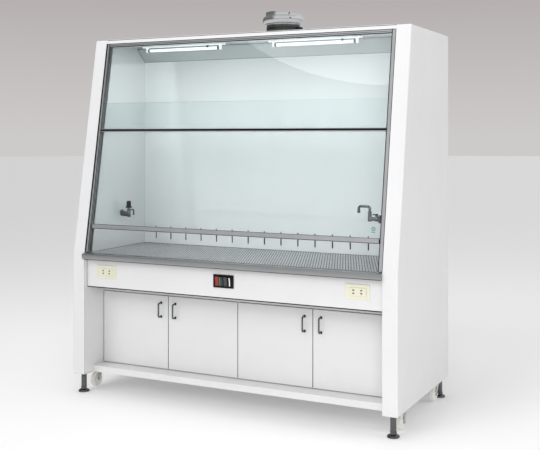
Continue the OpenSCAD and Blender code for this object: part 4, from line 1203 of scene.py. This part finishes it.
# %% Collar and sleeve
duct_top = duct_hi[2]
bead_z, neck, band_r = duct_top - 44, 92.0, 97.0
bead_out, bead_up = 17, 22  # how far the rolled bead stands out, and half its height
a = np.radians(np.linspace(-80, 80, 17))
outer = np.c_[band_r + bead_out * np.cos(a), bead_z + bead_up * np.sin(a)]
inner = np.c_[band_r - 2 + bead_out * np.cos(a[::-1]), bead_z + bead_up * np.sin(a[::-1])]
wall = np.r_[[[neck - 2, ROOF + 0.1], [neck + 22, ROOF + 0.1], [neck + 22, ROOF + 2], [neck + 3, ROOF + 2],
              [neck, ROOF + 5], [neck, bead_z - 29], [neck + 2, bead_z - 28], [neck + 10, bead_z - 28],
              [neck + 11, bead_z - 27], [neck + 11, bead_z - 25], [neck + 9.8, bead_z - 24]], outer,
             [[band_r + 0.6, bead_z + 23.4], [band_r, bead_z + 25], [band_r, duct_top - 0.7],
              [band_r - 0.7, duct_top], [band_r - 1.6, duct_top], [band_r - 2, duct_top - 0.6],
              [band_r - 2, bead_z + 23]], inner,
             [[neck - 2, bead_z - 26]]]
collar = turned(wall, (duct_x, duct_y, 0), n=96, ring=True)
piece("exhaust_collar", [collar], DUCT_STEEL, stands_for="duct_spigot", angle=40)
sleeve = [(neck - 0.5, ROOF + 5), (neck + 0.5, ROOF + 5), (neck + 0.5, bead_z - 29.5),
          (neck - 0.5, bead_z - 29.5)]
piece("collar_sleeve", [turned(sleeve, (duct_x, duct_y, 0), n=96, ring=True)], SLEEVE,
      angle=40)
print("collar top", duct_top, "bead", bead_z)

# %% Rivets
rivets = []
for t in np.radians((-45, 135)):
    for z, out in ((duct_top - 12, band_r), (bead_z + 4, band_r + 16.3)):
        dome = [[0, out + 2.0], [2.2, out + 1.7], [4.4, out + 0.6], [4.6, out - 1.0], [0, out - 1.0]]
        shape, faces = turned(dome, (0, 0, 0), "x", 16)
        x, y, h = shape.T
        swung = [duct_x + x * math.cos(t) - y * math.sin(t), duct_y + x * math.sin(t) + y * math.cos(t),
                 h + z]
        rivets.append((np.stack(swung, -1), faces))
piece("collar_rivets", rivets, DARK_STEEL)
print("rivets", len(rivets))

# %% Band clamp
clamp_z = ROOF + 63
opening = np.radians(3)
a = np.linspace(opening, 2 * np.pi - opening, 90)[:, None]
strap = np.array([[neck + 0.45, 0.8], [neck + 0.45, 13.2], [neck + 0.8, 14], [neck + 1.9, 13.2],
                  [neck + 1.5, 12.4], [neck + 1.5, 1.6], [neck + 1.9, 0.8], [neck + 0.8, 0]])
band = skin(np.stack([duct_x + strap[None, :, 0] * np.cos(a), duct_y + strap[None, :, 0] * np.sin(a),
                      clamp_z + strap[None, :, 1] + 0 * a], -1))
lugs = [block((duct_x + neck + 0.5, clamp_z + 0.4, duct_y + e * 4),
              (duct_x + neck + 19, clamp_z + 13.6, duct_y + e * 13), "y") for e in (-1, 1)]
piece("clamp_band", [band] + lugs, DARK_STEEL, stands_for="duct_clamp", edge=0.5, steps=1)
bolt = (duct_x + neck + 11, duct_y, clamp_z + 7)
nuts = [turned([(0, h0), (5.6, h0), (6.4, (h0 * 3 + h1) / 4), (6.4, h1), (0, h1)], bolt, "y", 6)
        for h0, h1 in ((-21, -15.5), (20, 14))]
stem = turned([(0, -22), (3, -22), (3, 22), (0, 22)], bolt, "y", 20)
washers = [turned([(0, h), (6.8, h), (6.8, h + 1.2), (0, h + 1.2)], bolt, "y", 28) for h in (-14.8, 13.2)]
piece("clamp_screw", nuts + [stem] + washers, DARK_STEEL)
print("clamp at", clamp_z)

# %% [markdown]
# ## Cupboards
# The cupboards are a board carcass on a folded steel tray. A channel over the doors carries their
# upper pins. The door leaves are folded pans: a flat front, a rim, and a sunk back that shows when a
# door is open. Black strips on their two upright edges, and on the carcass behind the gaps at the
# columns and in the middle, are painted shade for the gaps. A wire handle with round feet stands near
# each free edge.

# %% Tray, boards and head rail
shelf_lo, shelf_hi = corners("base_shelf")
y0, y1, z0, z1 = shelf_lo[1], shelf_hi[1], shelf_lo[2], shelf_hi[2]
tray = [[y0, z0], [y0, z1], [y1, z1], [y1, z0], [y1 - 2, z0], [y1 - 2, z1 - 2], [y0 + 2, z1 - 2],
        [y0 + 2, z0]]
piece("cupboard_tray", [bar(tray, -INNER + 0.3, INNER - 0.3)], WHITE,
      stands_for="base_shelf", edge=0.9, steps=3)
car_lo, car_hi = corners("cabinet_carcass")
front_edge = -206.0  # the boards' front, just behind the closed doors
back_edge, board, carcass_top = car_hi[1], 16, car_lo[2] + 404
walls = [(-INNER + 0.2, -INNER + board), (-board / 2, board / 2), (INNER - board, INNER - 0.2)]
boards = [block((front_edge, z1, a), (back_edge - board, carcass_top - board, b)) for a, b in walls]
boards += [block((front_edge, carcass_top - board, -INNER + 0.2),
                 (back_edge - board, carcass_top, INNER - 0.2)),
           block((back_edge - board, z1, -INNER + 0.2), (back_edge, carcass_top, INNER - 0.2))]
piece("cupboard_boards", boards, WHITE, stands_for="cabinet_carcass", edge=0.8)
door_boxes = [corners(f"door_{i + 1}") for i in range(4)]
h0, h1 = door_boxes[0][1][2] + 3, pan_lo[2] - 2
head_rail = [[front_edge - 18, h0], [front_edge, h0], [front_edge, h0 + 2], [front_edge - 16, h0 + 2],
             [front_edge - 16, h1 - 2], [front_edge, h1 - 2], [front_edge, h1], [front_edge - 18, h1]]
piece("door_head_rail", [bar(head_rail, -INNER + 0.3, INNER - 0.3)], WHITE, edge=0.8,
      steps=2)
seam_x = [door_boxes[0][0][0] - 1, (door_boxes[1][1][0] + door_boxes[2][0][0]) / 2, door_boxes[3][1][0] + 1]
# Black strips behind the door gaps: painted shade.
strips = [block((front_edge - 0.9, z1 + 1, max(-INNER + 1, x - 6)),
                (front_edge - 0.1, h0, min(INNER - 1, x + 6)))
          for x in seam_x]
piece("door_gap_shadow_strips", strips, BLACK)
print("carcass top", carcass_top, "rail", h0, h1)

# %% Doors and handles
hold_low, hold_high, hold_in = 408, 480, 42  # heights of the handle's feet, and their distance from the edge
for i, (lo, hi) in enumerate(door_boxes):
    free = 1 if i % 2 == 0 else -1  # the side of the door's free edge
    face_y, wide, tall_z = front_edge - 20, hi[0] - lo[0], hi[2] - lo[2]
    mid = np.array([(lo[0] + hi[0]) / 2, 0, (lo[2] + hi[2]) / 2])
    steps = [(0, face_y), (0, face_y + 18), (19, face_y + 18), (21.5, face_y + 8)]
    loops = np.stack([np.c_[square * ((wide - 2 * m) / 2, (tall_z - 2 * m) / 2), [y] * 4][:, [0, 2, 1]]
                      for m, y in steps])
    piece(f"door_leaf_{i + 1}", [skin(loops + mid)], WHITE, body=f"door_{i + 1}",
          stands_for=f"door_{i + 1}", edge=2.2, steps=4)
    # Black strips on the leaf's upright edges: painted shade that darkens the gaps between doors.
    edge_shadow_strips = [block((face_y + 1.5, lo[2] + 4, e - 0.5), (face_y + 16, hi[2] - 4, e + 0.5))
             for e in (lo[0], hi[0])]
    piece(f"door_edge_shadow_strips_{i + 1}", edge_shadow_strips, BLACK, body=f"door_{i + 1}")
    bar_x = (hi[0] if free > 0 else lo[0]) - free * hold_in
    grip_y = lo[1] + 4
    hold = rounded_path([[bar_x, face_y + 0.5, hold_low], [bar_x, grip_y, hold_low],
                         [bar_x, grip_y, hold_high], [bar_x, face_y + 0.5, hold_high]], 9, 9)
    feet = [turned([(4, -0.2), (7.5, -0.2), (7.5, -1.4), (6.6, -2.4), (4, -2.6)], (bar_x, face_y, z), "y",
                   28, ring=True) for z in (hold_low, hold_high)]
    piece(f"door_handle_{i + 1}", [wire(hold, 4, 20)], CHROME, body=f"door_{i + 1}")
    piece(f"handle_feet_{i + 1}", feet, CHROME, body=f"door_{i + 1}")
print("doors", round(wide, 2), "x", round(tall_z, 1))

# %% [markdown]
# ## Gas cock and tap
# The fittings on the side walls are turned brass under chrome: stepped discs, hexagon nuts and ribs
# are all profiles turned round an axis, with six sides where a spanner fits. The knob's finger
# hollows come from a radius that falls and rises six times in one turn.

# %% Gas cock body
gas_lo, gas_hi = corners("gas_knob")
gx, gy = (gas_lo[:2] + gas_hi[:2]) / 2
gz = gas_lo[2] - 28.5
parts = [
    turned([(0, -INNER), (18, -INNER), (18, -INNER + 3), (16.5, -INNER + 5), (10, -INNER + 5.6),
            (8, -INNER + 7), (8, gx), (0, gx)],
           (0, gy, gz), "x", 40),
    turned([(0, -INNER + 9), (11.5, -INNER + 9), (12.4, -INNER + 10.5), (12.4, -INNER + 17.5),
            (11.5, -INNER + 19), (0, -INNER + 19)],
           (0, gy, gz), "x", 6),
    turned([(0, -22), (8.6, -22), (10, -20), (10, 12), (9, 14), (9, 18), (10, 20), (10, 23), (5, 23.4),
            (5, 36.6), (0, 36.6)],
           (gx, gy, gz), "z", 40),
    turned([(0, 13.6), (9.8, 13.6), (10.7, 14.6), (10.7, 18.4), (9.8, 19.4), (0, 19.4)],
           (gx, gy, gz), "z", 6),
    turned([(0, 0), (6, 0), (6, -20), (6.9, -21), (6.9, -24), (4.5, -25), (4.5, -28), (5.6, -30.4),
            (4.5, -30.4), (4.5, -35), (5.6, -37.4), (4.5, -37.4), (4.5, -42), (5.6, -44.4), (4.5, -44.4),
            (4.1, -48), (2.6, -48), (2.5, -24), (0, -24)],
           (gx, gy, gz - 10), "y", 28),
    wire(rounded_path([[gx, gy, gz + 16], [gx, gy + 46, gz + 16], [gx, gy + 46, gz - 13]], 10, 11), 4, 20),
    turned([(0, 8), (5.2, 8), (5.2, 15), (0, 15)], (gx, gy, gz + 16), "y", 24),
    turned([(0, -14), (4.8, -14), (4.8, -8), (0, -8)], (gx, gy + 46, gz), "z", 24),
]
piece("gas_cock", parts, CHROME, stands_for="gas_cock_body", angle=30)
print("gas cock at", gx, gy, gz)

# %% Gas knob
hollows, hollow_depth = 6, 2.4
a = np.linspace(0, 2 * np.pi, 96, endpoint=False)[None, :]
scallop = hollow_depth * np.clip(np.cos(hollows * a), 0, 1) ** 1.5  # depth (cos 6a)^1.5 where cos 6a > 0
heights = np.array([8, 9.5, 34, 36.4, 38])[:, None]
radius = np.array([12.5, 12.5, 11.9, 11.3, 9.4])[:, None] - scallop * np.array([0.2, 1, 1, 0.9, 0.4])[:, None]
grip = skin(np.stack([gx + radius * np.cos(a), gy + radius * np.sin(a), gas_lo[2] + heights + 0 * a], -1))
skirt = turned([(0, 0.2), (16.2, 0.2), (17, 1), (17, 5.4), (16, 6.8), (12.8, 8.4), (0, 8.4)],
               (gx, gy, gas_lo[2]), "z", 64)
piece("gas_knob_grip", [skirt, grip], BLACK, body="gas_knob", stands_for="gas_knob",
      angle=30)
pointer = bar(oblong(gx - 0.9, gx + 0.9, gy - 8.5, gy - 2), gas_lo[2] + 37.6, gas_lo[2] + 37.95, "z")
piece("gas_knob_pointer", [pointer], MARK, body="gas_knob")
print("knob hollows", hollows)

# %% Tap body and union nut
spout_lo, spout_hi = corners("tap_spout")
tx, ty, tz = spout_hi[0] - 9.5, (spout_lo[1] + spout_hi[1]) / 2, spout_lo[2]
x0 = INNER - tx
parts = [
    turned([(0, x0), (24, x0), (24, x0 - 2.5), (22.5, x0 - 5), (12, x0 - 5.6), (9, x0 - 8), (9, 0), (0, 0)],
           (tx, ty, tz), "x", 48),
    turned([(0, -12), (8.6, -12), (10, -10.5), (10, 9.5), (8.8, 12), (0, 12)], (tx, ty, tz), "z", 40),
    turned([(0, -10), (9.2, -10), (10.4, -9), (11.6, -7), (11.6, 7), (10.4, 9), (9.2, 10), (0, 10)],
           (tx + 34, ty, tz), "x", 40),
    turned([(0, 6), (7.6, 6), (8.2, 7), (8.2, 12.6), (7.4, 13.8), (3, 14.1), (3, 24), (0, 24)],
           (tx + 34, ty, tz), "z", 6),
]
piece("tap_fitting", parts, CHROME, stands_for="tap_body", angle=30)
a = np.linspace(0, 2 * np.pi, 144, endpoint=False)[None, :]
knurl = 0.45 * np.cos(36 * a)  # 36 low ridges round the nut
x_rows = np.array([46, 46.8, 57.2, 58])[:, None]
r_rows = np.array([17.2, 18.4, 18.4, 17.2])[:, None] + knurl * np.array([0, 1, 1, 0])[:, None]
nut = skin(np.stack([tx + x_rows + 0 * a, ty + r_rows * np.cos(a), tz + r_rows * np.sin(a)], -1))
piece("tap_union_nut", [nut], DARK_STEEL, angle=30)
print("tap at", round(tx, 1), ty, tz)

# %% Tap lever and spout
lev = tz + 14.4
hub = turned([(0, 0), (6.9, 0), (7.5, 0.8), (7.5, 8.6), (6.6, 10), (0, 10)], (tx + 34, ty, lev), "z", 36)
wedge = [[0, -4], [0, 4], [-17, 3], [-21, 1.6], [-21, -1.6], [-17, -3]]
arm = bar(np.array(wedge) + (tx + 34, ty), lev + 3.2, lev + 8.8, "z")
piece("tap_lever_wedge", [hub, arm], BLACK, body="tap_lever", stands_for="tap_lever",
      edge=0.7, steps=2, angle=40)
base_z = tz + 12.4
hub_profile = [(0, -0.3), (8.9, -0.3), (9.5, 0.9), (9.5, 7), (8.3, 8), (8.3, 11), (9.5, 12), (9.5, 19),
               (8.6, 20.6), (6.9, 22), (0, 22)]
spout_reach, spout_rise, bend_r = 56, 46, 13
route = rounded_path([[tx, ty, base_z + 18], [tx, ty, base_z + spout_rise],
                      [tx - spout_reach, ty, base_z + spout_rise], [tx - spout_reach, ty, base_z + 15]],
                     bend_r, 13)
outlet = turned([(6.4, 11), (7.5, 10.4), (7.5, 0.6), (7, 0), (5, 0), (5, 3), (6.2, 11)],
                (tx - spout_reach, ty, base_z + 14), "z", 36, ring=True)
spout_hub = turned(hub_profile, (tx, ty, base_z), "z", 40)
piece("tap_spout_pipe", [spout_hub, wire(route, 6.5, 28, side=(0, 1, 0)), outlet], CHROME, body="tap_spout",
      stands_for="tap_spout", angle=30)
print("spout reach", spout_reach)

# %% [markdown]
# ## Casters and levelling feet
# The hood can be rolled on four swivel casters and then screwed down onto four broad feet. A caster's
# fork is two pressed cheeks under a round crown that holds the ball race; its wheel is a moulded
# nylon disc with a web and hub. A foot is a chromed dome under a thick shaft with spanner flats.

# %% Casters
def caster(i, x, y):
    """One caster: fork parts on the fork body, and the wheel on its own body."""
    axle_y, axle_z, crown = y - 25, 41.5, 90  # the axle trails 25 mm off the swivel's line
    angle = np.radians(np.linspace(20, -200, 15))
    foot_arc = np.c_[axle_y + 9 * np.cos(angle), axle_z + 9 * np.sin(angle)]
    cheek = np.r_[[[y - 16, crown], [y + 14, crown], [y + 13, crown - 8]], foot_arc, [[y - 17, crown - 8]]]
    cheeks = [bar(cheek, x + a, x + a + 3) for a in (-18, 15)]
    crown_plate = turned([(0, -2), (19, -2), (21, 0), (21, 5), (20, 6), (9, 6), (0, 6)],
                         (x, y, crown), "z", 48)
    piece(f"caster_cheeks_{i}", cheeks + [crown_plate], ZINC, body=f"caster_fork_{i}",
          stands_for=f"caster_fork_{i}", edge=0.7, steps=2, angle=32)
    race = turned([(0, -4.6), (15, -4.6), (17.4, -3.4), (17.4, -1.8), (0, -1.8)], (x, y, crown), "z", 48)
    shaft = turned([(0, 5.8), (7.9, 5.8), (7.9, 42), (0, 42)], (x, y, crown), "z", 28)
    axle = turned([(0, -20.6), (4, -20.6), (4, 20.6), (0, 20.6)], (x, axle_y, axle_z), "x", 20)
    nuts = [turned([(0, e * 18), (6.8, e * 18), (7.2, e * 19), (7.2, e * 22), (6.6, e * 23), (0, e * 23)],
                   (x, axle_y, axle_z), "x", 6) for e in (-1, 1)]
    piece(f"caster_pin_{i}", [race, shaft, axle] + nuts, PIN, body=f"caster_fork_{i}",
          angle=32)
    rim = [(4.1, -13.5), (9, -13.5), (10, -12.5), (11.5, -9), (24, -9.4), (27, -11.6), (29, -12), (33.5, -12),
           (36.4, -10.4), (37.5, -7), (37.5, -0.6), (37.2, 0), (37.5, 0.6), (37.5, 7), (36.4, 10.4),
           (33.5, 12), (29, 12), (27, 11.6), (24, 9.4), (11.5, 9), (10, 12.5), (9, 13.5), (4.1, 13.5)]
    piece(f"caster_disc_{i}", [turned(rim, (x, axle_y, axle_z), "x", 64, ring=True)], CREAM,
          body=f"caster_wheel_{i}", stands_for=f"caster_wheel_{i}", angle=40)


print("caster helper ready")


# %% Feet
def foot(i, x, y):
    """One foot: a base whose edge is the arc (17 + 12 cos a, 4 + 8 sin a), a shaft, and a six-sided
    collar to turn it by."""
    a = np.radians(np.linspace(12, 78, 7))
    dome = np.c_[17 + 12 * np.cos(a), 4 + 8 * np.sin(a)]
    profile = np.r_[[[0, 0], [27.6, 0], [28.8, 0.8], [29, 2], [29, 4.4]], dome,
                    [[16.4, 12.4], [14, 13.6], [14, 127], [12.6, 130], [0, 130]]]
    flats = turned([(0, 15), (15.4, 15), (16.6, 16.4), (16.6, 26.6), (15.4, 28), (0, 28)], (x, y, 0), "z", 6)
    piece(f"foot_base_{i}", [turned(profile, (x, y, 0), "z", 56), flats], CHROME, body=f"foot_{i}",
          stands_for=f"foot_{i}", angle=32)


for i in range(4):  # left front, right front, left back, right back
    x, row = (-1 if i % 2 == 0 else 1) * foot_x, i // 2
    caster(i + 1, x, caster_ys[row])
    foot(i + 1, x, foot_ys[row])
print("casters and feet at x", foot_x)

# %% [markdown]
# ## Count of pieces
# The finished hood must fill the same box as the CAD model; here the pieces and their faces are counted.

# %% Pieces and faces
print("pieces", len(made_pieces), "faces", sum(len(o.data.polygons) for o in made_pieces))
